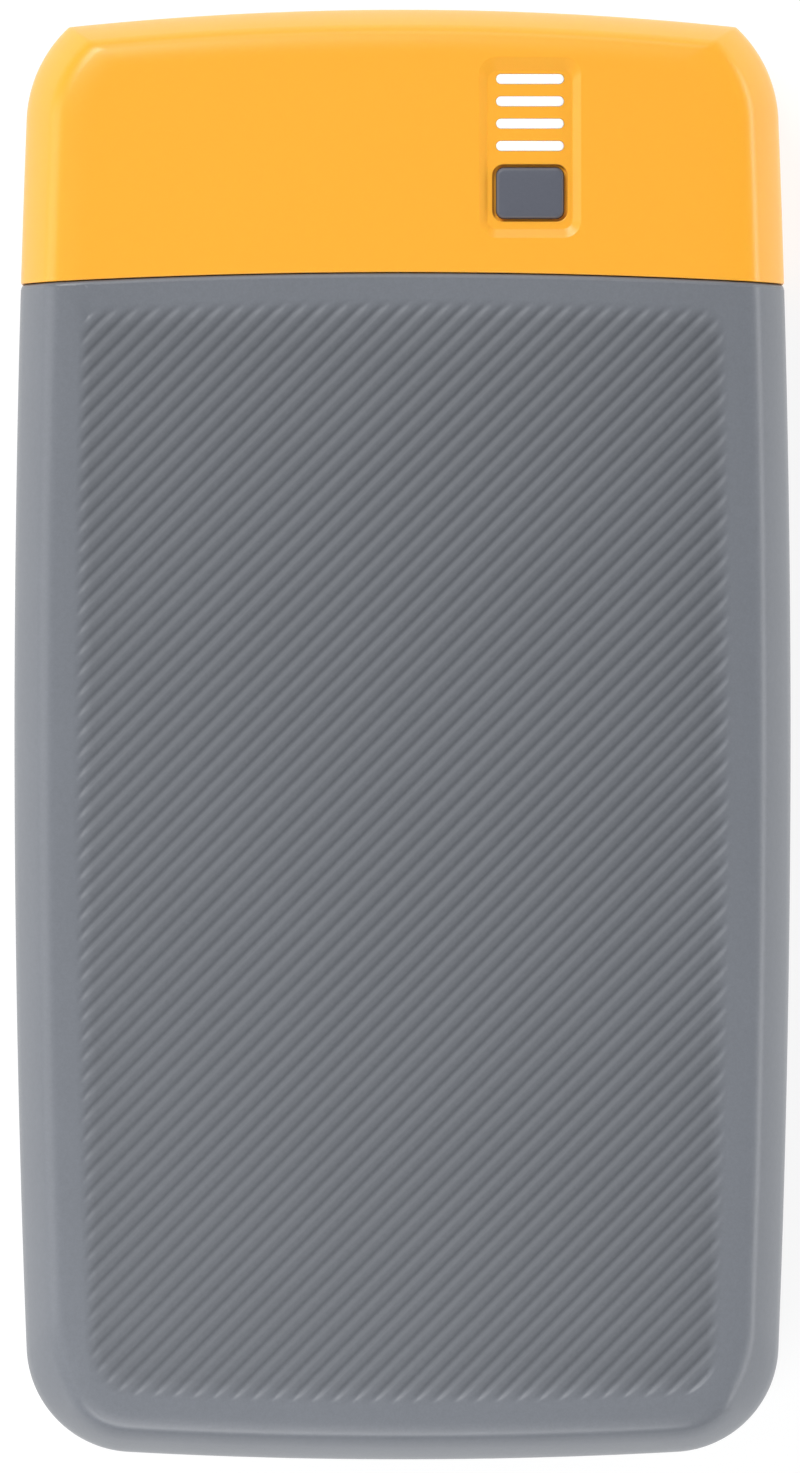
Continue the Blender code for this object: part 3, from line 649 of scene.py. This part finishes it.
def shell(name, side, node):
    """A ribbed shell: a fine outside, and the CAD solid's own ribs, ears and spigot inside it."""
    made = form_half(name, side)
    uncut = made.data.copy()
    boolean(made, whole_form("void", WALL - SKIN_OVERLAP, HIDDEN_STEP))
    boolean(made, seam_side("cap_side", -SEAM_GAP / 2, 1))
    boolean(made, seam_rounding("rounding", -SEAM_GAP / 2, 1, BODY_RIM_RADIUS))
    core = whole_form("core", WALL - 2 * SKIN_OVERLAP, HIDDEN_STEP)
    boolean(made, boolean(cad_copy(node), core, "INTERSECT"), "UNION")
    return panel_marked(smooth(made, 32, uncut))


def panel_marked(obj):
    """A mesh attribute that is 1 in the ribbed panel and 0 outside, for the material's painted
    groove shade and rougher finish there.
    """
    mesh = obj.data
    points = np.zeros((len(mesh.vertices), 3))
    mesh.vertices.foreach_get("co", points.ravel())
    points /= MM
    offset = points[:, :2] - HUB
    edge = at_angles(panel_outline(), np.arctan2(offset[:, 1], offset[:, 0]))
    inside = np.clip((edge - np.hypot(*offset.T)) / PANEL_FADE, 0, 1)
    inside *= np.abs(points[:, 2] - MID_Z) > MID_Z - 1
    mark = mesh.attributes.new("panel", "FLOAT", "POINT")
    mark.data.foreach_set("value", inside.astype(np.float32))
    return obj


# ---------------------------------------------------------------- the cap's cutters


def recess_cutter():
    """The shallow recess: straight sloped walls, eased where they meet its floor and the face."""
    shares = np.concatenate(
        (np.linspace(0, RECESS_EASED, 5), np.linspace(1 - RECESS_EASED, 1, 5))
    )
    slopes = np.minimum(1, np.minimum(shares, 1 - shares) / RECESS_EASED)
    steps = np.diff(shares) * (slopes[1:] + slopes[:-1]) / 2
    rises = np.concatenate(((0,), np.cumsum(steps))) / np.sum(steps)
    loops = []
    for share, rise in zip(shares, rises):
        spread = RECESS_SLOPE * share
        end_spread = RECESS_END_SLOPE * share
        centre = np.array(RECESS_CENTRE) + (0, (end_spread - spread) / 2)
        size = np.array(RECESS_FLOOR) + (2 * spread, spread + end_spread)
        points = rounded_rectangle(centre, size, RECESS_RADIUS + spread, 10)
        loops.append(flat_loop(points, THICKNESS - RECESS_DEPTH * (1 - rise) + 0.002))
    loops.append(loops[-1] + (0, 0, 1))
    return lofted("recess_cutter", loops)


def opening_cutter(name, centre, size, radius, flare, top, bottom):
    """An upright hole whose upper edge is rounded by flare."""
    steps = np.linspace(0, math.pi / 2, 5)
    spreads = np.concatenate(((0,), flare * (1 - np.cos(steps)), (flare,)))
    heights = np.concatenate(((bottom,), top - flare + flare * np.sin(steps) + 0.004, (top + 1,)))
    loops = []
    for spread, z in zip(spreads, heights):
        points = rounded_rectangle(centre, np.array(size) + 2 * spread, radius + spread)
        loops.append(flat_loop(points, z))
    return lofted(name, loops)


def end_face_y(x):
    """Where the outside of the end face is, at mid thickness."""
    return END_CENTRE.y + np.sqrt(END_RADIUS**2 - x**2)


def mouth_cutter(x, size, radius):
    """A socket's hole in the end face, with a chamfer round its mouth."""
    loops = []
    for spread, shift in ((0, -8), (0, -SOCKET_CHAMFER), (SOCKET_CHAMFER, 0.02), (1, 1.5)):
        grown = np.array(size) + 2 * spread
        ring = rounded_rectangle((x, SOCKET_Z), grown, radius + spread)
        y = end_face_y(ring[:, 0]) + shift
        loops.append(np.column_stack((ring[:, 0], y, ring[:, 1])))
    return lofted("mouth_cutter", loops)


# ---------------------------------------------------------------- the cap, key and light bars


def socket_cap():
    made = whole_form("socket_cap", 0, CAP_STEP)
    uncut = made.data.copy()
    boolean(made, whole_form("void", WALL - SKIN_OVERLAP, HIDDEN_STEP))
    boolean(made, seam_side("body_side", SEAM_GAP / 2, -1))
    boolean(made, seam_rounding("rounding", SEAM_GAP / 2, -1, CAP_RIM_RADIUS))
    core = whole_form("core", WALL - 2 * SKIN_OVERLAP, HIDDEN_STEP)
    boolean(made, boolean(cad_copy("end_cap"), core, "INTERSECT"), "UNION")
    boolean(made, recess_cutter())
    floor = THICKNESS - RECESS_DEPTH
    low = THICKNESS - WALL - 1
    ledge = floor - KEY_STEP_DEPTH
    hole = opening_cutter(
        "hole", KEY_CENTRE, KEY_HOLE, KEY_HOLE_RADIUS, KEY_HOLE_FLARE, floor, ledge
    )
    boolean(made, hole)
    step = rounded_rectangle(KEY_CENTRE, KEY_STEP, KEY_RADIUS + 0.05)
    boolean(made, prism("step", step, low, floor))
    for y in BAR_Y:
        place = (KEY_CENTRE[0], y)
        radius = BAR_SLOT[1] / 2 - 0.001
        slot = opening_cutter("slot", place, BAR_SLOT, radius, BAR_SLOT_FLARE, floor, low)
        boolean(made, slot)
    for x, size, radius in SOCKET_HOLES:
        boolean(made, mouth_cutter(x, size, radius))
    return smooth(made, 28, uncut)


def pillow(name, centre, size, radius, low, top, bevel, crown):
    """A rounded block with a soft edge and a slightly domed top."""
    turn = np.linspace(0, math.pi / 2, 7)
    shape = [(0.0, low)]
    shape += [(bevel * (1 - math.cos(a)), top - bevel + bevel * math.sin(a)) for a in turn]
    loops = []
    for inset, z in shape:
        points = rounded_rectangle(centre, np.array(size) - 2 * inset, max(radius - inset, 0.05))
        loops.append(flat_loop(points, z))
    edge = loops[-1]
    middle = np.array((*centre, top))
    for share in np.linspace(0.12, 0.96, 8):
        ring = middle + (edge - middle) * (1 - share)
        ring[:, 2] = top + crown * (1 - (1 - share) ** 2)
        loops.append(ring)
    return lofted(name, loops)


def joined_to_cad(made, node, below):
    """A fine top, joined to the part of a CAD solid that lies below a height."""
    low, high = (np.array(corner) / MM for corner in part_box(node))
    inside = cad_copy(node)
    boolean(inside, box_solid("below", low - 1, (*(high[:2] + 1), below)), "INTERSECT")
    return boolean(made, inside, "UNION")


def push_key():
    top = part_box("button_key")[1].z / MM - KEY_CROWN
    made = pillow("key", KEY_CENTRE, KEY_SIZE, KEY_RADIUS, KEY_FOOT, top, KEY_BEVEL, KEY_CROWN)
    return smooth(joined_to_cad(made, "button_key", KEY_JOIN), 40)


def light_bars():
    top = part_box("light_guide")[1].z / MM
    radius = BAR_SIZE[1] / 2 - 0.001
    made = None
    for y in BAR_Y:
        place = (KEY_CENTRE[0], y)
        bar = pillow("bar", place, BAR_SIZE, radius, BAR_FOOT, top, BAR_BEVEL, BAR_CROWN)
        made = boolean(made, bar, "UNION") if made else bar
    return smooth(joined_to_cad(made, "light_guide", BAR_JOIN), 40)


# ---------------------------------------------------------------- sockets


def socket_shell(node, radius):
    """A drawn steel shell with a rolled lip at its mouth, in its CAD solid's place."""
    thickness, lip = SOCKET_SHEET, SOCKET_LIP
    low, high = (np.array(corner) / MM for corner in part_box(node))
    centre = (low + high)[[0, 2]] / 2
    size = (high - low)[[0, 2]]
    turn = np.linspace(0, math.pi, 9)
    profile = [(0.0, low[1])]
    half = thickness / 2
    profile += [(half - half * math.cos(a), high[1] - half + half * math.sin(a)) for a in turn]
    flare = [(thickness - lip, high[1] - half), (thickness, high[1] - half - 4 * lip)]
    profile = profile[:-1] + flare + [(thickness, low[1])]
    loops = []
    for inset, y in profile:
        ring = rounded_rectangle(centre, size - 2 * inset, radius - inset)
        loops.append(np.column_stack((ring[:, 0], np.full(len(ring), y), ring[:, 1])))
    return smooth(lofted(node, loops, closed=True), 40)


def merged(name, objects):
    """Several objects' meshes as one object."""
    bm = bmesh.new()
    for obj in objects:
        bm.from_mesh(obj.data)
        bpy.data.objects.remove(obj)
    mesh = bpy.data.meshes.new(name)
    bm.to_mesh(mesh)
    bm.free()
    made = bpy.data.objects.new(name, mesh)
    bpy.context.scene.collection.objects.link(made)
    return made


def contacts(name, tongue, row, faces):
    """Plated strips pressed on a socket's tongue, with round ends and eased edges."""
    count, pitch, width, length = row
    low, high = (np.array(corner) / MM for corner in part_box(tongue))
    strips = []
    for i in range(count):
        x = (low[0] + high[0]) / 2 + (i - (count - 1) / 2) * pitch
        middle = np.array((x, high[1] - 0.35 - length / 2))
        for z, up in faces:
            loops = []
            for inset, rise in ((0, -0.05), (0, 0.04), (0.02, 0.07), (0.07, 0.09)):
                size = np.array((width, length)) - 2 * inset
                ring = rounded_rectangle(middle, size, size[0] / 2 - 0.01, 5)
                loops.append(flat_loop(ring, z + up * rise))
            strips.append(lofted(f"{name}_{i}", loops))
    return smooth(merged(name, strips), 40)


def foam_piece(node):
    """A foam pad on its CAD solid, with edges that the die rounded."""
    made = cad_copy(node)
    bevel = made.modifiers.new("bevel", "BEVEL")
    bevel.width = FOAM_EDGE * MM
    bevel.segments = 4
    bevel.limit_method = "ANGLE"
    bevel.use_clamp_overlap = True
    return smooth(applied(made), 40)


# ---------------------------------------------------------------- materials


def add(tree, kind, inputs=None, **settings):
    """A shader node with its settings and inputs; an input is a value or another node's output."""
    made = tree.nodes.new("ShaderNode" + kind)
    for name, value in settings.items():
        setattr(made, name, value)
    for name, value in (inputs or {}).items():
        if isinstance(value, bpy.types.NodeSocket):
            tree.links.new(value, made.inputs[name])
        else:
            made.inputs[name].default_value = value
    return made


def noise(tree, place, size, detail=2.0, rough=0.5, stretch=None):
    """Noise with features of this size in millimetres."""
    if stretch:
        place = add(tree, "Mapping", {"Vector": place, "Scale": stretch}).outputs[0]
    inputs = {"Vector": place, "Scale": 1 / (size * MM), "Detail": detail, "Roughness": rough}
    return add(tree, "TexNoise", inputs).outputs["Fac"]


def combined(tree, operation, a, b):
    made = add(tree, "Math", operation=operation)
    for socket, value in zip(made.inputs, (a, b)):
        if isinstance(value, bpy.types.NodeSocket):
            tree.links.new(value, socket)
        else:
            socket.default_value = value
    return made.outputs[0]


def spread(tree, value, low, high, at_low=0.3, at_high=0.7):
    """A texture's value stretched from the range that it mostly covers to another."""
    inputs = {"Value": value, "From Min": at_low, "From Max": at_high}
    inputs.update({"To Min": low, "To Max": high})
    return add(tree, "MapRange", inputs).outputs[0]


def ramp(tree, value, *stops):
    """A colour from (place, colour) stops."""
    made = add(tree, "ValToRGB", {"Fac": value})
    points = made.color_ramp.elements
    while len(points) < len(stops):
        points.new(0.5)
    for point, (place, colour) in zip(points, stops):
        point.position = place
        point.color = (*colour, 1)
    return made.outputs[0]


def blended(tree, factor, a, b):
    """One colour over another."""
    made = add(tree, "Mix", data_type="RGBA")
    for socket, value in zip((made.inputs[0], made.inputs[6], made.inputs[7]), (factor, a, b)):
        if isinstance(value, bpy.types.NodeSocket):
            tree.links.new(value, socket)
        else:
            socket.default_value = value if isinstance(value, float) else (*value, 1)
    return made.outputs[2]


def edges(tree, radius):
    """Near 1 on edges that are sharper than this radius in millimetres, and 0 elsewhere."""
    rounded = add(tree, "Bevel", {"Radius": radius * MM}, samples=4).outputs[0]
    true = add(tree, "NewGeometry").outputs["Normal"]
    facing = add(tree, "VectorMath", operation="DOT_PRODUCT")
    tree.links.new(rounded, facing.inputs[0])
    tree.links.new(true, facing.inputs[1])
    return spread(tree, facing.outputs["Value"], 1.0, 0.0, 0.8, 0.98)


def tinted(colour, by):
    return tuple(min(1.0, channel * by) for channel in colour)


def finish(name, colour, roughness, metallic=0.0, **sockets):
    """A new material with its shader's plain numbers set; returns it, its tree and its shader."""
    made = bpy.data.materials.new(name)
    made.use_nodes = True
    tree = made.node_tree
    shader = tree.nodes["Principled BSDF"]
    shader.inputs["Base Color"].default_value = (*colour, 1)
    shader.inputs["Roughness"].default_value = roughness
    shader.inputs["Metallic"].default_value = metallic
    for socket, value in sockets.items():
        shader.inputs[socket.replace("_", " ")].default_value = value
    place = add(tree, "TexCoord").outputs["Object"]
    return made, tree, shader, place


def bumped(tree, shader, *layers):
    """Relief from (texture, height in millimetres) layers."""
    normal = None
    for texture, relief in layers:
        inputs = {"Height": texture, "Distance": relief * MM, "Strength": 1.0}
        if normal:
            inputs["Normal"] = normal
        normal = add(tree, "Bump", inputs).outputs[0]
    tree.links.new(normal, shader.inputs["Normal"])


def moulded(
    name, colour, roughness, grain=0.22, relief=0.006, mottle=0.05, wear=0.3, panel=None, **sockets
):
    """Moulded plastic: spark-eroded grain, faint flow clouds, and edges that handling has polished.

    panel is what the ribbed panel's colour is multiplied by, as painted shade for its grooves, and
    what its roughness is raised by.
    """
    made, tree, shader, place = finish(name, colour, roughness, **sockets)
    cloud = noise(tree, place, 11.0, 3.0)
    fine = noise(tree, place, grain, 3.0, 0.6)
    speck = noise(tree, place, grain * 2.7, 2.0)
    shade = combined(tree, "MULTIPLY", cloud, 0.2)
    shade = combined(tree, "ADD", shade, combined(tree, "MULTIPLY", fine, 0.5))
    shade = combined(tree, "ADD", shade, combined(tree, "MULTIPLY", speck, 0.3))
    dark, light = tinted(colour, 1 - mottle), tinted(colour, 1 + mottle)
    base = ramp(tree, shade, (0.35, dark), (0.65, light))
    if panel:
        # The ribbed panel's colour is darkened here: painted shade standing in for the shade in its
        # grooves
        painted_groove_shade, roughened = panel
        mark = add(tree, "Attribute", attribute_name="panel").outputs["Fac"]
        stops = (0.35, tinted(dark, painted_groove_shade)), (0.65, tinted(light, painted_groove_shade))
        base = blended(tree, mark, base, ramp(tree, shade, *stops))
    worn = combined(tree, "MULTIPLY", edges(tree, 0.35), spread(tree, speck, 0.2, 1.0))
    worn = combined(tree, "MULTIPLY", worn, wear)
    base = blended(tree, worn, base, tinted(colour, 1.45))
    tree.links.new(base, shader.inputs["Base Color"])
    rough = spread(tree, fine, roughness - 0.05, roughness + 0.05)
    rough = combined(tree, "SUBTRACT", rough, combined(tree, "MULTIPLY", worn, 0.25))
    if panel:
        rough = combined(tree, "ADD", rough, combined(tree, "MULTIPLY", mark, roughened))
    tree.links.new(rough, shader.inputs["Roughness"])
    bumped(tree, shader, (speck, relief * 0.8), (fine, relief))
    return made


def milky(name, colour):
    """Translucent white plastic with a faint painted glow all over, so that it reads whiter."""
    made, tree, shader, place = finish(
        name, colour, 0.32, Subsurface_Weight=0.4, Subsurface_Scale=0.6 * MM
    )
    cloud = noise(tree, place, 1.4, 2.0)
    fine = noise(tree, place, 0.12, 2.0)
    base = ramp(tree, cloud, (0.3, tinted(colour, 0.97)), (0.7, tinted(colour, 1.03)))
    tree.links.new(base, shader.inputs["Base Color"])
    # Painted glow: the bars give off a little light of their own
    shader.inputs["Emission Color"].default_value = (1.0, 0.99, 0.96, 1)
    shader.inputs["Emission Strength"].default_value = BAR_GLOW
    tree.links.new(spread(tree, fine, 0.28, 0.38), shader.inputs["Roughness"])
    bumped(tree, shader, (fine, 0.002))
    return made


def drawn_metal(name, colour, roughness, stretch, relief=0.002, grain=0.05, **sockets):
    """Rolled or drawn metal, with its lines stretched along one axis and faint stains."""
    made, tree, shader, place = finish(name, colour, roughness, 1.0, **sockets)
    lines = noise(tree, place, grain, 4.0, 0.65, stretch)
    stain = noise(tree, place, 2.6, 3.0)
    low, high = tinted(colour, 0.88), tinted(colour, 1.06)
    base = ramp(tree, stain, (0.3, low), (0.7, high))
    worn = combined(tree, "MULTIPLY", edges(tree, 0.12), 0.5)
    base = blended(tree, worn, base, tinted(colour, 1.25))
    tree.links.new(base, shader.inputs["Base Color"])
    rough = spread(tree, lines, roughness - 0.08, roughness + 0.1)
    tree.links.new(rough, shader.inputs["Roughness"])
    bumped(tree, shader, (lines, relief))
    return made


def foam(name, colour):
    """Closed-cell foam: fine pits of two sizes."""
    made, tree, shader, place = finish(name, colour, 0.92)
    cells = add(tree, "TexVoronoi", {"Vector": place, "Scale": 1 / (0.35 * MM)})
    pits = cells.outputs["Distance"]
    fine = noise(tree, place, 0.15, 3.0)
    base = ramp(tree, pits, (0.05, tinted(colour, 0.5)), (0.6, tinted(colour, 1.5)))
    tree.links.new(base, shader.inputs["Base Color"])
    tree.links.new(spread(tree, fine, 0.85, 0.98), shader.inputs["Roughness"])
    bumped(tree, shader, (pits, 0.06), (fine, 0.02))
    return made


def board_finish(name, colour):
    """Solder mask over copper tracks on both faces, and bare glass-epoxy on the board's edges."""
    made, tree, shader, place = finish(name, colour, 0.38, Coat_Weight=0.3, Coat_Roughness=0.2)
    tracks = add(
        tree,
        "TexBrick",
        {"Vector": place, "Scale": 420.0, "Mortar Size": 0.06, "Mortar Smooth": 0.3},
        offset=0.35,
        squash=0.7,
        squash_frequency=3,
    ).outputs["Fac"]
    weave = noise(tree, place, 0.5, 3.0)
    mask = ramp(tree, weave, (0.3, tinted(colour, 0.85)), (0.7, tinted(colour, 1.2)))
    mask = blended(tree, tracks, mask, tinted(colour, 1.7))
    up = add(tree, "NewGeometry").outputs["Normal"]
    towards = add(tree, "SeparateXYZ", {"Vector": up}).outputs[BOARD_AXES[name]]
    on_face = spread(tree, combined(tree, "ABSOLUTE", towards, 0.0), 0.0, 1.0, 0.4, 0.6)
    fibres = noise(tree, place, 0.2, 3.0)
    glass = ramp(tree, fibres, (0.3, (0.36, 0.3, 0.13)), (0.7, (0.5, 0.43, 0.2)))
    tree.links.new(blended(tree, on_face, glass, mask), shader.inputs["Base Color"])
    tree.links.new(spread(tree, weave, 0.32, 0.46), shader.inputs["Roughness"])
    bumped(tree, shader, (tracks, 0.03), (weave, 0.006))
    return made


def foil(name, colour):
    """A pouch's laminated foil: soft wrinkles, fine orange peel and a satin sheen."""
    made, tree, shader, place = finish(name, colour, 0.36, 0.85)
    wrinkles = noise(tree, place, 9.0, 4.0, 0.55, (1.0, 0.45, 1.0))
    peel = noise(tree, place, 0.6, 3.0)
    base = ramp(tree, wrinkles, (0.3, tinted(colour, 0.9)), (0.7, tinted(colour, 1.08)))
    tree.links.new(base, shader.inputs["Base Color"])
    tree.links.new(spread(tree, peel, 0.3, 0.44), shader.inputs["Roughness"])
    bumped(tree, shader, (wrinkles, 0.35), (peel, 0.012))
    return made


def sintered(name, colour, roughness, grain):
    """Pressed ferrite or moulding compound: matt, with pale specks."""
    made, tree, shader, place = finish(name, colour, roughness)
    cells = add(tree, "TexVoronoi", {"Vector": place, "Scale": 1 / (grain * MM)})
    fine = noise(tree, place, grain * 0.6, 3.0)
    base = ramp(
        tree,
        combined(tree, "MULTIPLY", cells.outputs["Distance"], fine),
        (0.02, tinted(colour, 1.9)),
        (0.2, colour),
        (0.5, tinted(colour, 0.75)),
    )
    tree.links.new(base, shader.inputs["Base Color"])
    rough = spread(tree, fine, roughness - 0.08, roughness + 0.08)
    tree.links.new(rough, shader.inputs["Roughness"])
    bumped(tree, shader, (fine, 0.012))
    return made


# ---------------------------------------------------------------- the pieces

OUTER = outline(0, 0, CREASE_RADIUS)
FLAT = outline(SIDE_ROLL, END_ROLL, CREASE_RADIUS_AT_FACE)

GREY = moulded(
    "grey_plastic",
    SHELL_GREY,
    0.36,
    relief=0.007,
    mottle=0.06,
    # The ribbed panel: 0.733 darkens its colour as painted groove shade, and 0.22 makes it rougher
    panel=(0.733, 0.22),
    Specular_IOR_Level=0.42,
)
YELLOW = moulded(
    "yellow_plastic",
    CAP_YELLOW,
    0.33,
    grain=0.16,
    relief=0.003,
    mottle=0.012,
    wear=0.1,
    Subsurface_Weight=0.12,
    Subsurface_Scale=0.8 * MM,
)
KEY = moulded("key_plastic", KEY_GREY, 0.48, grain=0.14, relief=0.004, mottle=0.05, wear=0.5)
MILKY = milky("milky_plastic", (0.95, 0.95, 0.93))
STEEL = drawn_metal("drawn_steel", (0.6, 0.61, 0.62), 0.3, (1, 0.06, 1))
TURNED_STEEL = drawn_metal("screw_steel", (0.6, 0.61, 0.62), 0.32, (1, 1, 0.3))
NICKEL = drawn_metal("nickel_strip", (0.66, 0.63, 0.56), 0.34, (1, 0.08, 1))
GOLD = drawn_metal("gold_plate", (0.86, 0.62, 0.26), 0.24, (1, 0.2, 1), 0.001)
CAN = drawn_metal("aluminium_can", (0.7, 0.71, 0.73), 0.26, (1, 1, 0.1))
FOAM = foam("closed_cell_foam", (0.05, 0.05, 0.055))
BOARD = {name: board_finish(name, (0.02, 0.12, 0.05)) for name in BOARD_AXES}
POUCH = foil("pouch_foil", (0.55, 0.57, 0.6))
FERRITE = sintered("ferrite_core", (0.06, 0.06, 0.065), 0.72, 0.3)
CHIP = sintered("chip_compound", (0.025, 0.025, 0.027), 0.5, 0.12)
FRAME = moulded("frame_plastic", (0.08, 0.085, 0.09), 0.58, grain=0.3)
BLACK = moulded("black_plastic", (0.02, 0.02, 0.022), 0.45, grain=0.2)
RED_WIRE = moulded("red_silicone", (0.5, 0.02, 0.015), 0.48, grain=0.5, mottle=0.08)
BLACK_WIRE = moulded("black_silicone", (0.015, 0.015, 0.015), 0.48, grain=0.5, mottle=0.1)
LENS = moulded("led_lens", (0.9, 0.85, 0.55), 0.25, grain=0.3, relief=0.002, mottle=0.05)

for name, side in (("front", 1), ("rear", -1)):
    node = name + "_shell"
    made = shell(name, side, node)
    piece(made, name + "_housing", "housing", "shell_grey", GREY, node)
piece(socket_cap(), "socket_cap", "housing", "cap_yellow", YELLOW, "end_cap")
piece(push_key(), "push_key", "button", "key_grey", KEY, "button_key")
piece(light_bars(), "light_bars", "housing", "light_guide", MILKY, "light_guide")
for node, radius in (("usb_a_left_shell", 0.6), ("usb_a_right_shell", 0.6), ("usb_c_shell", 1.57)):
    piece(socket_shell(node, radius), node + "_drawn", "housing", "steel", STEEL, node)
for node, rows, faces in CONTACT_ROWS:
    made = contacts(node + "_contacts", node + "_tongue", rows, faces)
    piece(made, node + "_contacts", "housing", "nickel", GOLD)
for node in ("front_foam_pad", "rear_foam_pad", "cell_spacer_pad", "light_mask"):
    made = piece(foam_piece(node), node + "_foam", "housing", "foam", FOAM, node)

CAD_FINISHES = {
    "board_screw": TURNED_STEEL,
    "shell_screw": TURNED_STEEL,
    "switch_dome": STEEL,
    "switch_cover": STEEL,
    "front_cell_tab": NICKEL,
    "rear_cell_tab": NICKEL,
    "front_cell": POUCH,
    "rear_cell": POUCH,
    "bulk_capacitor": CAN,
    "power_inductor": FERRITE,
    "converter_chip": CHIP,
    "charge_controller_chip": CHIP,
    "mosfet": CHIP,
    "sense_resistor": CHIP,
    "cell_frame": FRAME,
    "battery_lead_positive": RED_WIRE,
    "battery_lead_negative": BLACK_WIRE,
    "thermistor": BLACK_WIRE,
    "charge_led": LENS,
    "main_board": BOARD["main_board"],
    "protection_board": BOARD["protection_board"],
}
for node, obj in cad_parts.items():
    if obj.hide_render:
        continue
    found = [material for start, material in CAD_FINISHES.items() if node.startswith(start)]
    obj.data.materials.clear()
    obj.data.materials.append(found[0] if found else BLACK)

# ---------------------------------------------------------------- floor, lights and camera


def soft_box(name, place, aim, size, power):
    """A rectangular lamp that faces a point."""
    lamp = bpy.data.lights.new(name, "AREA")
    lamp.shape = "RECTANGLE"
    lamp.size, lamp.size_y = size
    lamp.energy = power
    obj = bpy.data.objects.new(name, lamp)
    obj.location = place
    obj.rotation_euler = (Vector(aim) - Vector(place)).to_track_quat("-Z", "Y").to_euler()
    obj.visible_camera = False
    bpy.context.scene.collection.objects.link(obj)
    return obj


low, high = CAD_BOX
middle = (low + high) / 2

bpy.ops.mesh.primitive_plane_add(
    size=FLOOR_SIZE, location=(middle.x, middle.y, low.z - FLOOR_DROP)
)
floor = bpy.context.object
floor.name = "floor"
white, tree, shader, place = finish("floor_white", (FLOOR_WHITE,) * 3, 0.85)
shader.inputs["Emission Color"].default_value = (1, 1, 1, 1)
shader.inputs["Emission Strength"].default_value = FLOOR_GLOW
floor.data.materials.append(white)

world = bpy.data.worlds.new("studio")
world.use_nodes = True
background = world.node_tree.nodes["Background"]
background.inputs["Color"].default_value = (0.97, 0.985, 1.0, 1)
background.inputs["Strength"].default_value = WORLD_STRENGTH
bpy.context.scene.world = world

soft_box("upper_left", (-0.38, 0.65, 0.8), middle, (0.45, 0.45), 7.2)
soft_box("left_side", (-0.56, 0.02, 0.23), middle, (0.35, 0.42), 1.0)
soft_box("right_side", (0.6, 0.0, 0.1), middle, (0.9, 0.16), 2.5)
soft_box("far_end", (0.0, 0.65, 0.28), middle, (0.4, 0.25), 0.7)
soft_box("near_end", (-0.07, -0.25, 0.23), middle, (0.25, 0.1), 0.57)

camera = bpy.data.cameras.new("camera")
camera.lens = CAMERA_LENS
camera.sensor_width = SENSOR_WIDTH
camera.clip_start, camera.clip_end = CAMERA_CLIP
eye = bpy.data.objects.new("camera", camera)
bpy.context.scene.collection.objects.link(eye)
distance = FRAME_HEIGHT * MM * CAMERA_LENS / SENSOR_WIDTH
eye.location = (VIEW_CENTRE[0] * MM, VIEW_CENTRE[1] * MM, middle.z + distance)
bpy.context.scene.camera = eye
bpy.context.scene.view_settings.view_transform = "Standard"
